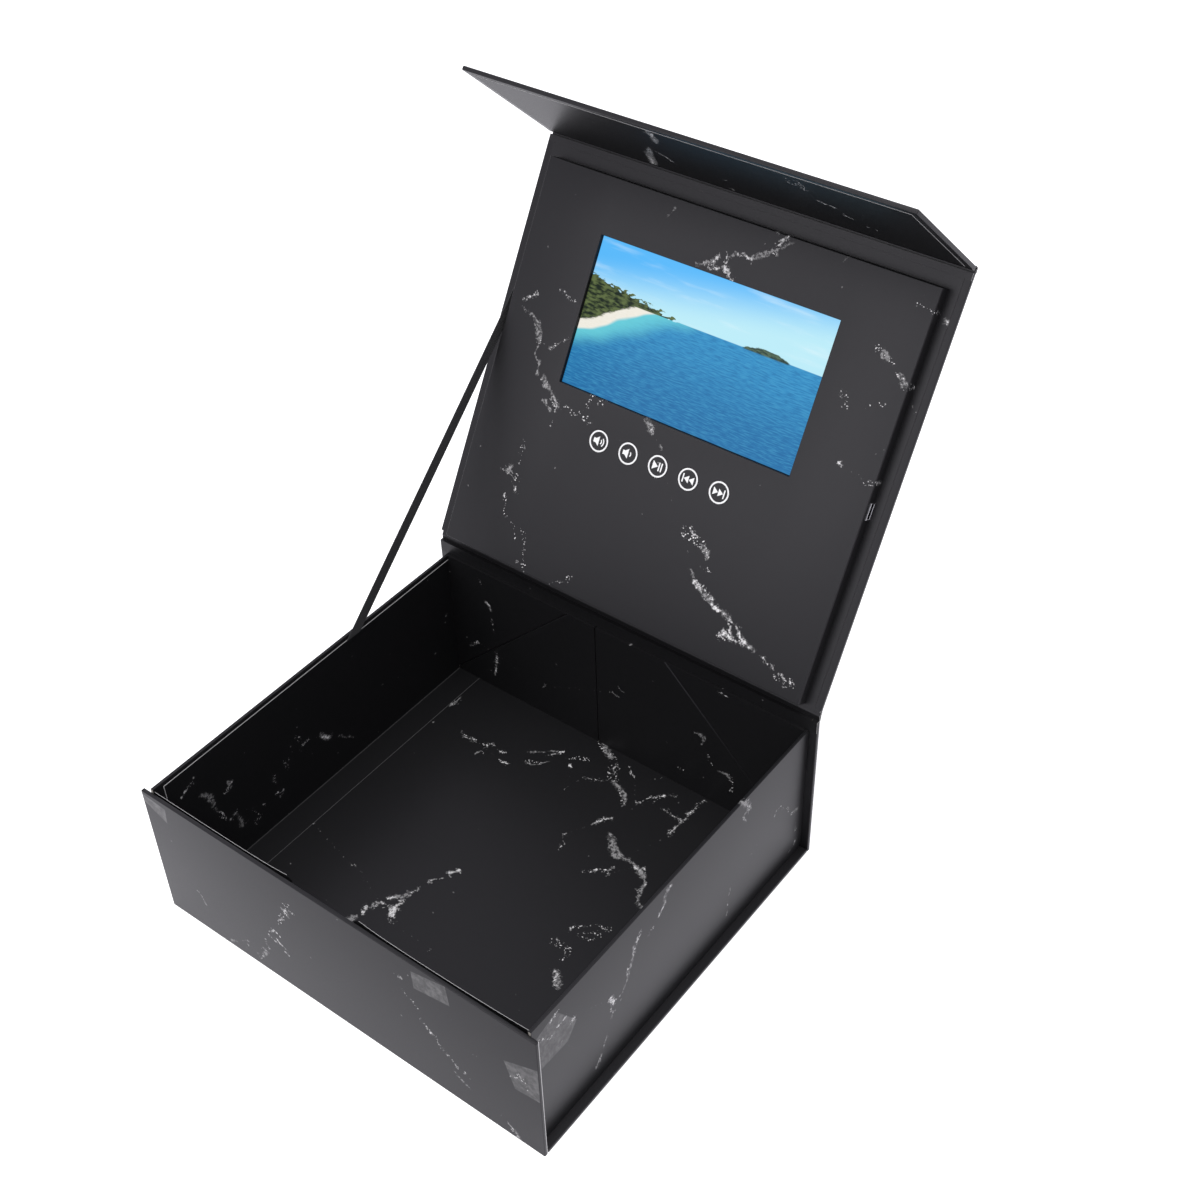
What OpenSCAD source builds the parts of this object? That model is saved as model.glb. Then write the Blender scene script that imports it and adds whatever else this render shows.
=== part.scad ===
// Gift box with a video player in its lid: a case of paper-covered boards,
// a tray with folded corners, a ribbon stay and a magnetic front flap.
// The box stands open. The origin is the middle of its underside, +Y is the back.

/* [Case] */
// Width of the case boards
case_w = 270; // [250:1:290]
// Depth of the shut case, from the front board to the spine
case_d = 246; // [244:1:260]
// Thickness of the grey board in the case
board_t = 2; // [1.8:0.1:2.2]
// Thickness of the covering paper
paper_t = 0.2; // [0.15:0.05:0.2]
// Width of the paper turned over a board's edge
turn_in = 15; // [12:1:18]
// Lining paper's distance from the board's edges
lining_inset = 4; // [3:0.5:6]

/* [Tray] */
// Height of the side walls above the table
wall_top = 97; // [90:1:110]
// Height of the front board above the table
front_top = 95; // [88:1:96]
// Case board that shows outside each side wall
side_ledge = 5; // [4:0.5:8]
// Thickness of the board in the walls
wall_board = 1.5; // [1.2:0.1:1.6]
// Width of the wall paper's flange on the base
flange_w = 19; // [12:1:20]
// Place of the seam between the two back flaps
back_seam_x = -15; // [-30:1:30]
// Inner end of the left front flap
left_flap_end = -27; // [-60:1:-10]
// Inner end of the right front flap
right_flap_end = 16; // [10:1:60]

/* [Lid] */
// Lean of the open lid behind upright
lid_lean = 30; // [20:1:32]
// Bend of the front flap from the lid's plane
flap_bend = 78; // [60:1:85]
// Length of the front flap from its fold
flap_len = 97; // [80:1:100]
// Bare paper on each side of a fold line
fold_half = 3; // [3:0.5:4]
// Gap between the shut panel and the walls
shut_gap = 0.4; // [0.3:0.1:0.6]

/* [Player panel] */
// Width of the raised panel
panel_w = 250; // [244:1:252]
// Panel's lower end, from the lid's fold line
panel_s0 = 3.8; // [3.8:0.1:5]
// Panel's upper end, from the lid's fold line
panel_s1 = 235; // [228:1:238]
// Height of the panel above the lid's lining
panel_t = 8; // [8:0.5:9]
// Width of the screen window
window_w = 155; // [154:0.5:158]
// Height of the screen window
window_h = 86; // [85.5:0.5:90]
// Window's centre, from the lid's fold line
window_s = 160; // [158:1:164]
// Place of the charging socket along the panel's right side
socket_s = 115; // [112:1:118]

/* [Buttons] */
// Button row, from the lid's fold line
button_s = 94; // [90:1:96]
// Distance from one button to the next
button_pitch = 20.5; // [18:0.5:21]
// Diameter of a button
button_d = 13; // [12:0.5:14]
// Running gap round a button
button_gap = 0.15; // [0.1:0.05:0.3]
// Press travel of a button
button_travel = 0.4; // [0.3:0.1:0.5]

/* [Ribbon stay] */
// Width of the ribbon
ribbon_w = 8; // [6:1:10]
// Ribbon's place along the tray wall
ribbon_y = 33; // [20:1:50]
// Ribbon's place up the lid
ribbon_s = 158; // [140:1:170]

/* [Hidden] */
$fn = 48;

// Covered board's full thickness, and the lined thickness of the lid and flap
case_t = board_t + 2 * paper_t;
lined_t = case_t + paper_t;
// Fold lines lie in the outer paper
hinge_y = case_d / 2;
hinge_z = wall_top + shut_gap + panel_t + lined_t;
fold_s = case_d + lined_t + shut_gap;
crease_gap = 0.6;
// Faces of the tray walls
wall_x = case_w / 2 - side_ledge;
wall_in_x = wall_x - wall_board - 2 * paper_t;
wall_t = wall_board + 2 * paper_t;
front_in_y = -case_d / 2 + lined_t;
back_in_y = case_d / 2 - case_t - paper_t;
tape_t = 0.15;
front_flap_t = 1.2;
front_flap_top = front_top - 3;
wall_lining_drop = 3;
wall_lining_inset = 5.5;
// Panel's inside, between the lid's lining and the facing board
bay_n0 = lined_t;
facing_n0 = bay_n0 + panel_t - board_t - paper_t;
bay_x = panel_w / 2 - paper_t;
face_n = bay_n0 + panel_t;
// Screen module behind the window
screen_w = 165;
screen_h = 100;
screen_drop = 2;
glass_t = 1.2;
backlight_t = 3.5;
screen_s0 = window_s - screen_h / 2 - screen_drop;
screen_s1 = screen_s0 + screen_h;
// Spacer strips leave a bay for the board, battery and speaker
strip_x = 84;
bay_s0 = 22;
board_bay_s0 = 57;
board_bay_s1 = 131;
side_strip_t = 2;
pcb_t = 1;
pcb_n1 = bay_n0 + pcb_t;
switch_h = 3;
stem_d = 3.4;
lip_d = button_d + 2.6;
lip_t = 0.8;
magnet_d = 15;
magnet_t = 1;
magnet_x = 100;
magnet_z = 33;
// The reed switch on the main board lies over this magnet when the lid is shut
switch_s = 70;
switch_y = case_d / 2 - switch_s;
// Clearance that keeps a glued sheet off what moves
glue = 0.02;

// Box between two corners
module block(low, high) {
    translate(low) cube(high - low);
}

// Folded sheet: the points are one face, and the sheet's thickness lies to their left
function run(p, i) = (p[i + 1] - p[i]) / norm(p[i + 1] - p[i]);
function left_of(d) = [-d[1], d[0]];
function mitred(a, b) = (a + b) / (1 + a * b);
function side_of(p, i) =
    i == 0 ? left_of(run(p, 0))
    : i == len(p) - 1 ? left_of(run(p, i - 1))
    : mitred(left_of(run(p, i - 1)), left_of(run(p, i)));
module folded_sheet(p, t) {
    last = len(p) - 1;
    polygon(concat(p, [for (i = [last:-1:0]) p[i] + t * side_of(p, i)]));
}

// Extrudes a profile drawn in Y and Z along X, from x0 to x1
module along_x(x0, x1) {
    translate([x0, 0, 0]) rotate([90, 0, 90]) linear_extrude(x1 - x0) children();
}

// Extrudes a profile drawn in X and Z along Y, from y0 to y1
module along_y(y0, y1) {
    translate([0, y1, 0]) rotate([90, 0, 0]) linear_extrude(y1 - y0) children();
}

// Paper round a flat board of width w and length l, centred on X, outer face at Z = 0.
// It turns over both sides, and over the far end too, with mitred corners.
module board_paper(w, l, far_end = true) {
    top = board_t + paper_t;
    pocket_y1 = far_end ? l - paper_t : l + 1;
    window_y1 = far_end ? l - turn_in : l + 1;
    mitre_w = 0.3;
    difference() {
        block([-w / 2, 0, 0], [w / 2, l, case_t]);
        block([-w / 2 + paper_t, -1, paper_t], [w / 2 - paper_t, pocket_y1, top]);
        block([-w / 2 + turn_in, -1, top - 0.1], [w / 2 - turn_in, window_y1, case_t + 1]);
        if (far_end)
            for (side = [-1, 1])
                translate([side * w / 2, l, top])
                    rotate([0, 0, side * 45])
                        block([-mitre_w / 2, -2 * turn_in, 0], [mitre_w / 2, 1, 1]);
    }
}

// Lining sheet: it lies on the turned paper and steps down where that ends
module stepped_lining(w, l, level) {
    edge = turn_in - lining_inset;
    block([-w / 2, 0, level + paper_t], [w / 2, l, level + 2 * paper_t]);
    block([-w / 2 + edge, 0, level], [w / 2 - edge, l - edge, level + paper_t]);
}

// Frames of the standing boards: flat drawings are stood up in place
module stood_at_front() {
    translate([0, -case_d / 2, paper_t]) mirror([0, 1, 0]) rotate([90, 0, 0]) children();
}
module stood_at_back() {
    translate([0, case_d / 2, paper_t]) rotate([90, 0, 0]) children();
}

// Lid frame: X across, Y up the lid from its fold line, Z inwards from the outer paper
module on_lid() {
    translate([0, hinge_y, hinge_z]) rotate([90 - lid_lean, 0, 0]) children();
}

// Flap frame: as the lid's, from the flap's own fold line
module on_flap() {
    on_lid() translate([0, fold_s, 0]) rotate([flap_bend, 0, 0]) children();
}

// Case boards and their paper
module base_board() {
    color("dimgray")
        block([-case_w / 2 + paper_t, front_in_y + crease_gap, paper_t],
              [case_w / 2 - paper_t, case_d / 2 - case_t - crease_gap, paper_t + board_t]);
}

module base_wrap() {
    edge = case_w / 2;
    y0 = front_in_y + crease_gap;
    y1 = case_d / 2 - case_t - crease_gap;
    color([0.13, 0.13, 0.14]) {
        block([-edge, -case_d / 2, 0], [edge, case_d / 2, paper_t]);
        for (side = [0, 1]) mirror([side, 0, 0]) {
            block([edge - paper_t, y0, paper_t], [edge, y1, case_t]);
            block([edge - turn_in, y0, case_t - paper_t], [edge - paper_t, y1, case_t]);
        }
    }
}

// Pocket for a steel disc, opening on the board's inner face
module disc_pocket(x, y) {
    translate([x, y, paper_t + board_t - magnet_t]) cylinder(d = magnet_d, h = magnet_t + 1);
}

module front_board() {
    color("dimgray") stood_at_front() difference() {
        block([-case_w / 2 + paper_t, 0, paper_t],
              [case_w / 2 - paper_t, front_top - 2 * paper_t, paper_t + board_t]);
        for (x = [-magnet_x, magnet_x]) disc_pocket(x, magnet_z - paper_t);
    }
}

module front_wrap() {
    color([0.16, 0.16, 0.17]) stood_at_front() board_paper(case_w, front_top - paper_t);
}

module front_magnet_plates() {
    color("silver") stood_at_front()
        for (x = [-magnet_x, magnet_x])
            translate([x, magnet_z - paper_t, paper_t + board_t - magnet_t])
                cylinder(d = magnet_d, h = magnet_t);
}

// Lining of the front wall, seen between the two front flaps
module front_lining() {
    color([0.1, 0.1, 0.11]) stood_at_front() translate([0, case_t, 0])
        stepped_lining(case_w - 2 * lining_inset, front_top - case_t - paper_t - lining_inset,
                       case_t - paper_t);
}

spine_l = hinge_z - fold_half - paper_t;
module spine_board() {
    color("dimgray") stood_at_back()
        block([-case_w / 2 + paper_t, 0, paper_t], [case_w / 2 - paper_t, spine_l, paper_t + board_t]);
}

module spine_wrap() {
    color([0.13, 0.13, 0.14]) stood_at_back() board_paper(case_w, spine_l, far_end = false);
}

// Tray walls: a board with paper that starts as a flange on the base, goes under the
// board, up the outside, over the top edge and a little way down the inside. It is also
// turned over the board's front end, behind the front flap.
wall_z0 = case_t + paper_t;
wall_y0 = front_in_y + tape_t;
wall_y1 = back_in_y;
wall_board_in_x = wall_x - paper_t - wall_board;

module wall_board_solid() {
    block([wall_board_in_x, wall_y0, wall_z0], [wall_x - paper_t, wall_y1, wall_top - paper_t]);
}

module wall_paper() {
    path = [
        [wall_x - flange_w, case_t],
        [wall_x, case_t],
        [wall_x, wall_top],
        [wall_in_x, wall_top],
        [wall_in_x, wall_top - turn_in]
    ];
    along_y(wall_y0, wall_y1) folded_sheet(path, paper_t);
    block([wall_in_x, wall_y0, wall_z0], [wall_board_in_x, wall_y0 + turn_in, wall_top - turn_in]);
}

// Lining sheet over the turned paper, with a second layer where the board would lie bare
module wall_lining() {
    y0 = wall_y0 + front_flap_t + wall_lining_inset;
    y1 = wall_y1 - wall_t - glue;
    path = [
        [wall_x - flange_w, wall_z0],
        [wall_in_x, wall_z0],
        [wall_in_x, wall_top - wall_lining_drop]
    ];
    along_y(y0, y1) folded_sheet(path, paper_t);
    block([wall_in_x, wall_y0 + turn_in, wall_z0], [wall_board_in_x, y1, wall_top - turn_in]);
}

module left_wall_board() { color("gray") mirror([1, 0, 0]) wall_board_solid(); }
module right_wall_board() {
    color("gray") difference() {
        wall_board_solid();
        switch_disc();
    }
}
module left_wall_wrap() { color([0.2, 0.2, 0.21]) mirror([1, 0, 0]) wall_paper(); }
module right_wall_wrap() { color([0.2, 0.2, 0.21]) wall_paper(); }
module left_wall_lining() { color([0.08, 0.08, 0.09]) mirror([1, 0, 0]) wall_lining(); }
module right_wall_lining() { color([0.08, 0.08, 0.09]) wall_lining(); }

// Front corner flaps, folded in from the side walls and taped to the front board
module front_flap(x0, x1) {
    y0 = front_in_y + tape_t;
    corner = 6;
    far = abs(x0) > abs(x1) ? x1 : x0;
    near = abs(x0) > abs(x1) ? x0 : x1;
    cut = near < far ? corner : -corner;
    along_y(y0, y0 + front_flap_t)
        polygon([
            [near, case_t + paper_t], [far - cut, case_t + paper_t],
            [far, case_t + paper_t + corner], [far, front_flap_top - corner / 2],
            [far - cut / 2, front_flap_top], [near, front_flap_top]
        ]);
}
flap_root = wall_in_x - 0.1;
module left_front_flap() { color([0.1, 0.1, 0.11]) front_flap(-flap_root, left_flap_end); }
module right_front_flap() { color([0.1, 0.1, 0.11]) front_flap(flap_root, right_flap_end); }

// Double-sided tape under the front flaps: two upright strips on each
module flap_tapes() {
    tape_w = 12;
    from_root = 6;
    from_end = 8;
    low = 12;
    high = front_flap_top - from_end;
    starts = [
        -flap_root + from_root, left_flap_end - from_end - tape_w,
        right_flap_end + from_end, flap_root - from_root - tape_w
    ];
    color("lightgray")
        for (x = starts) block([x, front_in_y, low], [x + tape_w, front_in_y + tape_t, high]);
}

// Back flaps, folded in from the side walls. Each has a sloping crease, which lets
// the tray lie flat for transport before its front flaps are taped.
module gusset_crease(side) {
    groove = 0.8;
    translate([side * wall_x, wall_y1 - wall_t, case_t])
        rotate([0, -side * 45, 0])
            rotate([0, 0, 45])
                translate([-groove / 2, -groove / 2, 0]) cube([groove, groove, 3 * wall_top]);
}

module back_flap(x0, x1, side) {
    difference() {
        block([x0, wall_y1 - wall_t, wall_z0], [x1, wall_y1, wall_top]);
        gusset_crease(side);
    }
}
seam_gap = 0.3;
module left_back_flap() {
    color([0.1, 0.1, 0.11]) back_flap(-flap_root, back_seam_x - seam_gap, -1);
}
module right_back_flap() {
    color([0.1, 0.1, 0.11]) back_flap(back_seam_x + seam_gap, flap_root, 1);
}

// Floor lining, between the wall flanges
module floor_lining() {
    edge = wall_x - flange_w;
    y0 = front_in_y + tape_t + front_flap_t;
    y1 = wall_y1 - wall_t;
    color([0.1, 0.1, 0.11]) {
        block([-edge, y0, case_t], [edge, y1, case_t + paper_t]);
        block([-case_w / 2 + turn_in, y0, case_t - paper_t], [case_w / 2 - turn_in, y1, case_t]);
    }
}

// Magnet let into the right wall's board: it switches the player off when the lid is shut
module switch_disc() {
    disc_d = 8;
    disc_t = 1;
    translate([wall_board_in_x, switch_y, wall_top - disc_d])
        rotate([0, 90, 0]) cylinder(d = disc_d, h = disc_t);
}
module switch_magnet() { color("silver") switch_disc(); }

// Lid
lid_l = fold_s - 2 * fold_half;
module lid_board() {
    color("dimgray") on_lid() translate([0, fold_half, 0])
        block([-case_w / 2 + paper_t, 0, paper_t], [case_w / 2 - paper_t, lid_l, paper_t + board_t]);
}

// Both ends of the lid are folds, so its paper only turns over at the sides
module lid_wrap() {
    color([0.16, 0.16, 0.17]) on_lid() translate([0, fold_half, 0])
        board_paper(case_w, lid_l, far_end = false);
}

module lid_lining() {
    edge = turn_in - lining_inset;
    w = case_w - 2 * lining_inset;
    y0 = panel_s0 + glue;
    y1 = fold_s - fold_half - lining_inset;
    color([0.1, 0.1, 0.11]) on_lid() {
        block([-w / 2, y0, case_t], [w / 2, y1, lined_t]);
        block([-w / 2 + edge, y0, case_t - paper_t], [w / 2 - edge, y1, case_t]);
    }
}

// Outer paper across the lid's fold, bent by the lean
module lid_hinge_strip() {
    lean = [sin(lid_lean), cos(lid_lean)];
    fold = [hinge_y, hinge_z];
    path = [fold - [0, fold_half], fold, fold + fold_half * lean];
    color([0.13, 0.13, 0.14]) along_x(-case_w / 2, case_w / 2) folded_sheet(path, paper_t);
}

// Inner lining of the lid's fold: down behind the back flaps, pressed into the groove,
// and up to the panel's lower end
module lid_hinge_lining() {
    lean = [sin(lid_lean), cos(lid_lean)];
    inward = [-cos(lid_lean), sin(lid_lean)];
    fold = [hinge_y, hinge_z];
    reach_down = 40;
    spine_in = hinge_y - case_t - glue;
    spine_top = hinge_z - fold_half + glue;
    groove = paper_t + glue;
    lid_end = fold_half - glue;
    lid_in = case_t + glue;
    lid_at = function(s, n) fold + s * lean + n * inward;
    path = [
        [spine_in, spine_top - reach_down],
        [spine_in, spine_top],
        [hinge_y - groove, spine_top],
        [hinge_y - groove, hinge_z + groove * tan(lid_lean / 2)],
        lid_at(lid_end, groove),
        lid_at(lid_end, lid_in),
        lid_at(panel_s0 - glue, lid_in)
    ];
    color([0.1, 0.1, 0.11]) along_x(-case_w / 2 + lining_inset, case_w / 2 - lining_inset)
        folded_sheet(path, paper_t - 2 * glue);
}

// Player panel: strips of foam board round the bay, then the facing board and its paper
module spacer_strips() {
    s0 = panel_s0 + paper_t;
    s1 = panel_s1 - paper_t;
    window_strip_s0 = screen_s1 + 1;
    socket_half = 5;
    side_strip_x = bay_x - side_strip_t;
    gap = 0.2;
    color("darkslategray") on_lid() {
        block([-bay_x, s0, bay_n0], [-strip_x, s1, facing_n0]);
        block([strip_x, board_bay_s1, bay_n0], [bay_x, s1, facing_n0]);
        block([strip_x, s0, bay_n0], [bay_x, board_bay_s0, facing_n0]);
        block([-strip_x + gap, window_strip_s0, bay_n0], [strip_x - gap, s1, facing_n0]);
        block([-strip_x + gap, s0, bay_n0], [strip_x - gap, bay_s0, facing_n0]);
        block([side_strip_x, board_bay_s0 + gap, bay_n0], [bay_x, socket_s - socket_half, facing_n0]);
        block([side_strip_x, socket_s + socket_half, bay_n0], [bay_x, board_bay_s1 - gap, facing_n0]);
    }
}

function button_x(i) = (i - 2) * button_pitch;
hole_d = button_d + 2 * button_gap;
module button_holes() {
    for (i = [0:4])
        translate([button_x(i), button_s, facing_n0 - 1]) cylinder(d = hole_d, h = board_t + 3);
}

module window_opening(grow) {
    translate([-window_w / 2 - grow, window_s - window_h / 2 - grow, facing_n0 - 1])
        cube([window_w + 2 * grow, window_h + 2 * grow, board_t + 3]);
}

module facing_board() {
    color("dimgray") on_lid() difference() {
        block([-bay_x, panel_s0 + paper_t, facing_n0], [bay_x, panel_s1 - paper_t, facing_n0 + board_t]);
        window_opening(paper_t);
        button_holes();
    }
}

// Facing paper: over the face, down all four sides, and turned into the window
module facing_wrap() {
    edge = panel_w / 2;
    cut_w = 9;
    cut_h = 4;
    cut_n0 = pcb_n1 - 0.7;
    color([0.22, 0.22, 0.23]) on_lid() difference() {
        union() {
            difference() {
                block([-edge, panel_s0, bay_n0], [edge, panel_s1, face_n]);
                block([-bay_x, panel_s0 + paper_t, bay_n0 - 1],
                      [bay_x, panel_s1 - paper_t, face_n - paper_t]);
            }
            translate([-window_w / 2 - paper_t, window_s - window_h / 2 - paper_t, facing_n0])
                cube([window_w + 2 * paper_t, window_h + 2 * paper_t, board_t]);
        }
        window_opening(0);
        button_holes();
        block([edge - 1, socket_s - cut_w / 2, cut_n0], [edge + 1, socket_s + cut_w / 2, cut_n0 + cut_h]);
    }
}

// Screen module
connector_rail = 2;
module screen_glass() {
    color([0.3, 0.65, 0.9]) on_lid()
        block([-screen_w / 2, screen_s0 + connector_rail, facing_n0 - glass_t],
              [screen_w / 2, screen_s1, facing_n0]);
}

// Backlight tray, with the rail that carries the glass's connector at its lower end
module screen_backlight() {
    n1 = facing_n0 - glass_t;
    clear = 0.2;
    color("gainsboro") on_lid() {
        block([-screen_w / 2, screen_s0, n1 - backlight_t], [screen_w / 2, screen_s1, n1]);
        block([-screen_w / 2, screen_s0, n1],
              [screen_w / 2, screen_s0 + connector_rail - clear, facing_n0 - clear]);
    }
}

// Two foam pads that press the module against the facing board
module screen_pad() {
    n1 = facing_n0 - glass_t - backlight_t;
    inner = 20;
    outer = 75;
    inset = 6;
    color("black") on_lid() for (side = [0, 1]) mirror([side, 0, 0])
        block([inner, screen_s0 + inset, bay_n0], [outer, screen_s1 - inset, n1]);
}

// Main board in the right-hand bay, with the socket at its outer edge
board_x0 = 86;
board_x1 = bay_x - side_strip_t - 0.3;
board_s0 = 60;
board_s1 = 129;
module main_board() {
    hole_in = 3;
    screw_d = 2.2;
    color("darkgreen") on_lid() difference() {
        block([board_x0, board_s0, bay_n0], [board_x1, board_s1, pcb_n1]);
        for (s = [board_s0 + hole_in, board_s1 - hole_in])
            translate([board_x0 + hole_in, s, bay_n0 - 1]) cylinder(d = screw_d, h = pcb_t + 2);
    }
}

// Processor, memory, crystal, inductor, screen connector and the leads' connectors
plug_x = 88;
speaker_plug_s = 64;
battery_plug_s = 72;
module lead_connector(s) {
    long = 5;
    wide = 6;
    high = 3;
    wall = 1;
    roof = 0.6;
    difference() {
        block([plug_x, s, pcb_n1], [plug_x + long, s + wide, pcb_n1 + high]);
        block([plug_x - 1, s + wall, pcb_n1 + wall],
              [plug_x + long - wall, s + wide - wall, pcb_n1 + high - roof]);
    }
}
module board_chips() {
    // Each is its corner's place across and up the lid, and its three sizes
    processor = [94, 84, 12, 12, 1.2];
    memory = [109, 78, 10, 18, 1.1];
    crystal = [94, 101, 5, 3.2, 1.2];
    inductor = [103, 101, 6, 6, 2.8];
    screen_connector = [88, 112, 5, 14, 1.6];
    color("black") on_lid() {
        for (c = [processor, memory, crystal, inductor, screen_connector])
            translate([c[0], c[1], pcb_n1]) cube([c[2], c[3], c[4]]);
        lead_connector(speaker_plug_s);
        lead_connector(battery_plug_s);
    }
}

// Micro charging socket: a tapered steel shell with its tongue, mouth at the panel's side
module charging_socket() {
    shell_l = 5.5;
    wide = 3.75;
    narrow = 2.75;
    tall = 2.6;
    steel = 0.25;
    overhang = 1.9;
    x0 = board_x1 + overhang - shell_l;
    color("silver") on_lid() translate([x0, socket_s, pcb_n1]) rotate([90, 0, 90]) {
        difference() {
            linear_extrude(shell_l)
                polygon([
                    [-narrow, 0], [narrow, 0], [wide, 1],
                    [wide, tall], [-wide, tall], [-wide, 1]
                ]);
            translate([0, 0, 1]) linear_extrude(shell_l)
                polygon([
                    [-narrow + steel, steel], [narrow - steel, steel], [wide - steel, 1 + steel / 2],
                    [wide - steel, tall - steel], [-wide + steel, tall - steel],
                    [-wide + steel, 1 + steel / 2]
                ]);
        }
        translate([-1.9, 1.3, 0.5]) cube([3.8, 0.7, shell_l - 1.3]);
    }
}

module reed_switch() {
    tube_d = 2;
    tube_l = 10;
    wire_d = 0.6;
    wire_l = 14;
    color("palegreen") on_lid() translate([board_x1 - wire_l - 1, switch_s, pcb_n1 + tube_d / 2])
        rotate([0, 90, 0]) {
            translate([0, 0, (wire_l - tube_l) / 2]) cylinder(d = tube_d, h = tube_l);
            cylinder(d = wire_d, h = wire_l);
        }
}

// Buttons: a board strip with five dome switches under the caps
strip_half_l = 2.5 * button_pitch;
strip_half_w = 7;
module button_board() {
    color("darkgreen") on_lid()
        block([-strip_half_l, button_s - strip_half_w, bay_n0],
              [strip_half_l, button_s + strip_half_w, pcb_n1]);
}

module tactile_switches() {
    body = 6;
    color("black") on_lid() for (i = [0:4]) translate([button_x(i), button_s, pcb_n1]) difference() {
        translate([-body / 2, -body / 2, 0]) cube([body, body, switch_h]);
        translate([0, 0, 1]) cylinder(d = stem_d + 0.2, h = switch_h);
    }
}

// Button cap: a printed face in the hole, a lip behind the board and a stem in the switch
module button_cap(i) {
    lip_n1 = facing_n0 - 0.1;
    stem_n0 = pcb_n1 + switch_h - 1.2;
    bevel = 0.15;
    r = button_d / 2;
    color([0.22, 0.22, 0.23]) on_lid() translate([button_x(i), button_s, 0])
        rotate_extrude($fn = 96)
            polygon([
                [0, stem_n0], [stem_d / 2, stem_n0], [stem_d / 2, lip_n1 - lip_t],
                [lip_d / 2, lip_n1 - lip_t], [lip_d / 2, lip_n1], [r, lip_n1],
                [r, face_n - bevel], [r - bevel, face_n], [0, face_n]
            ]);
}
module volume_up_button() { button_cap(0); }
module volume_down_button() { button_cap(1); }
module play_pause_button() { button_cap(2); }
module previous_button() { button_cap(3); }
module next_button() { button_cap(4); }

// Flat flexes
flex_t = 0.2;
flex_w = 8;
module button_flex() {
    lap = 4;
    color("orange") on_lid()
        block([strip_half_l - lap, button_s - flex_w / 2, pcb_n1],
              [board_x0 + lap, button_s + flex_w / 2, pcb_n1 + flex_t]);
}

module screen_flex() {
    x0 = 40;
    n0 = pcb_n1 + 1.2;
    color("orange") on_lid()
        block([x0, screen_s0 - flex_w / 2, n0], [board_x0 + 2, screen_s0, n0 + flex_t]);
}

// Battery pouch with its folded top seal
battery_at = [-76, 30];
battery_l = 56;
battery_w = 40;
battery_seal = 4;
module battery() {
    r = 2.4;
    tape = 0.2;
    seal_in = 3;
    seal_t = 0.5;
    color("lightsteelblue") on_lid() translate([battery_at[0], battery_at[1], bay_n0 + tape]) {
        for (y = [r, battery_w - r])
            translate([0, y, r]) rotate([0, 90, 0]) cylinder(r = r, h = battery_l);
        translate([0, r, 0]) cube([battery_l, battery_w - 2 * r, 2 * r]);
        translate([battery_l, seal_in, r - seal_t / 2])
            cube([battery_seal, battery_w - 2 * seal_in, seal_t]);
    }
}

// Speaker: steel basket, paper cone and dust cap in one turned form, over its magnet
speaker_x = 34;
speaker_s = 52;
module speaker() {
    color("dimgray") on_lid() translate([speaker_x, speaker_s, bay_n0])
        rotate_extrude($fn = 72)
            polygon([
                [0, 0], [8, 0], [8, 2.4], [14, 3.2], [17, 4], [18, 4], [18, 4.8], [16.6, 4.8],
                [15.4, 4.3], [14, 4.7], [6, 3.2], [4, 4], [0, 4.4]
            ]);
}

// Lead laid along a route, as straight lengths with round corners
module lead(route, d) {
    for (i = [0:len(route) - 2]) {
        step = route[i + 1] - route[i];
        translate(route[i])
            rotate([0, acos(step[2] / norm(step)), atan2(step[1], step[0])])
                cylinder(d = d, h = norm(step), $fn = 16);
    }
    for (i = [1:len(route) - 2]) translate(route[i]) sphere(d = d, $fn = 16);
}

// Two leads side by side each: they lie on the lid's lining and rise to their connector
lead_d = 1;
lead_pitch = 2;
lead_n = bay_n0 + 1.6;
plug_n = pcb_n1 + 1.7;
module battery_leads() {
    x0 = battery_at[0] + battery_l + battery_seal - 1;
    s0 = battery_at[1] + battery_w / 2;
    s1 = battery_plug_s + lead_pitch;
    for (k = [0, 1]) {
        across = lead_pitch * k;
        color(k == 0 ? "crimson" : "black") on_lid()
            lead([
                [x0, s0 + 8 + 5 * k, lead_n], [x0 + 7, s1 + 2 + across, lead_n],
                [plug_x - 14, s1 + 2 + across, lead_n], [plug_x - 6, s1 + across, plug_n],
                [plug_x + 0.5, s1 + across, plug_n]
            ], lead_d);
    }
}

module speaker_leads() {
    basket_r = 8;
    s1 = speaker_plug_s + lead_pitch;
    for (k = [0, 1]) {
        across = lead_pitch * k;
        color(k == 0 ? "crimson" : "black") on_lid()
            lead([
                [speaker_x + basket_r, speaker_s + across, lead_n - 0.6],
                [plug_x - 18, speaker_s + 6 + across, lead_n], [plug_x - 6, s1 + across, plug_n],
                [plug_x + 0.5, s1 + across, plug_n]
            ], lead_d);
    }
}

// Front flap
flap_l = flap_len - fold_half;
flap_magnet_s = hinge_z - magnet_z;
module flap_board() {
    color("dimgray") on_flap() difference() {
        block([-case_w / 2 + paper_t, fold_half, paper_t],
              [case_w / 2 - paper_t, flap_len - paper_t, paper_t + board_t]);
        for (x = [-magnet_x, magnet_x]) disc_pocket(x, flap_magnet_s);
    }
}

module flap_wrap() {
    color([0.16, 0.16, 0.17]) on_flap() translate([0, fold_half, 0]) board_paper(case_w, flap_l);
}

module flap_lining() {
    w = case_w - 2 * lining_inset;
    color([0.1, 0.1, 0.11]) on_flap() translate([0, fold_half + lining_inset, 0])
        stepped_lining(w, flap_l - 2 * lining_inset, case_t - paper_t);
}

module flap_magnets() {
    color("silver") on_flap()
        for (x = [-magnet_x, magnet_x])
            translate([x, flap_magnet_s, paper_t + board_t - magnet_t])
                cylinder(d = magnet_d, h = magnet_t);
}

// Profile frame of the flap's fold: Y along the lid, Z inwards, both from the fold line
module in_flap_fold() {
    on_lid() translate([0, fold_s, 0]) children();
}

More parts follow.
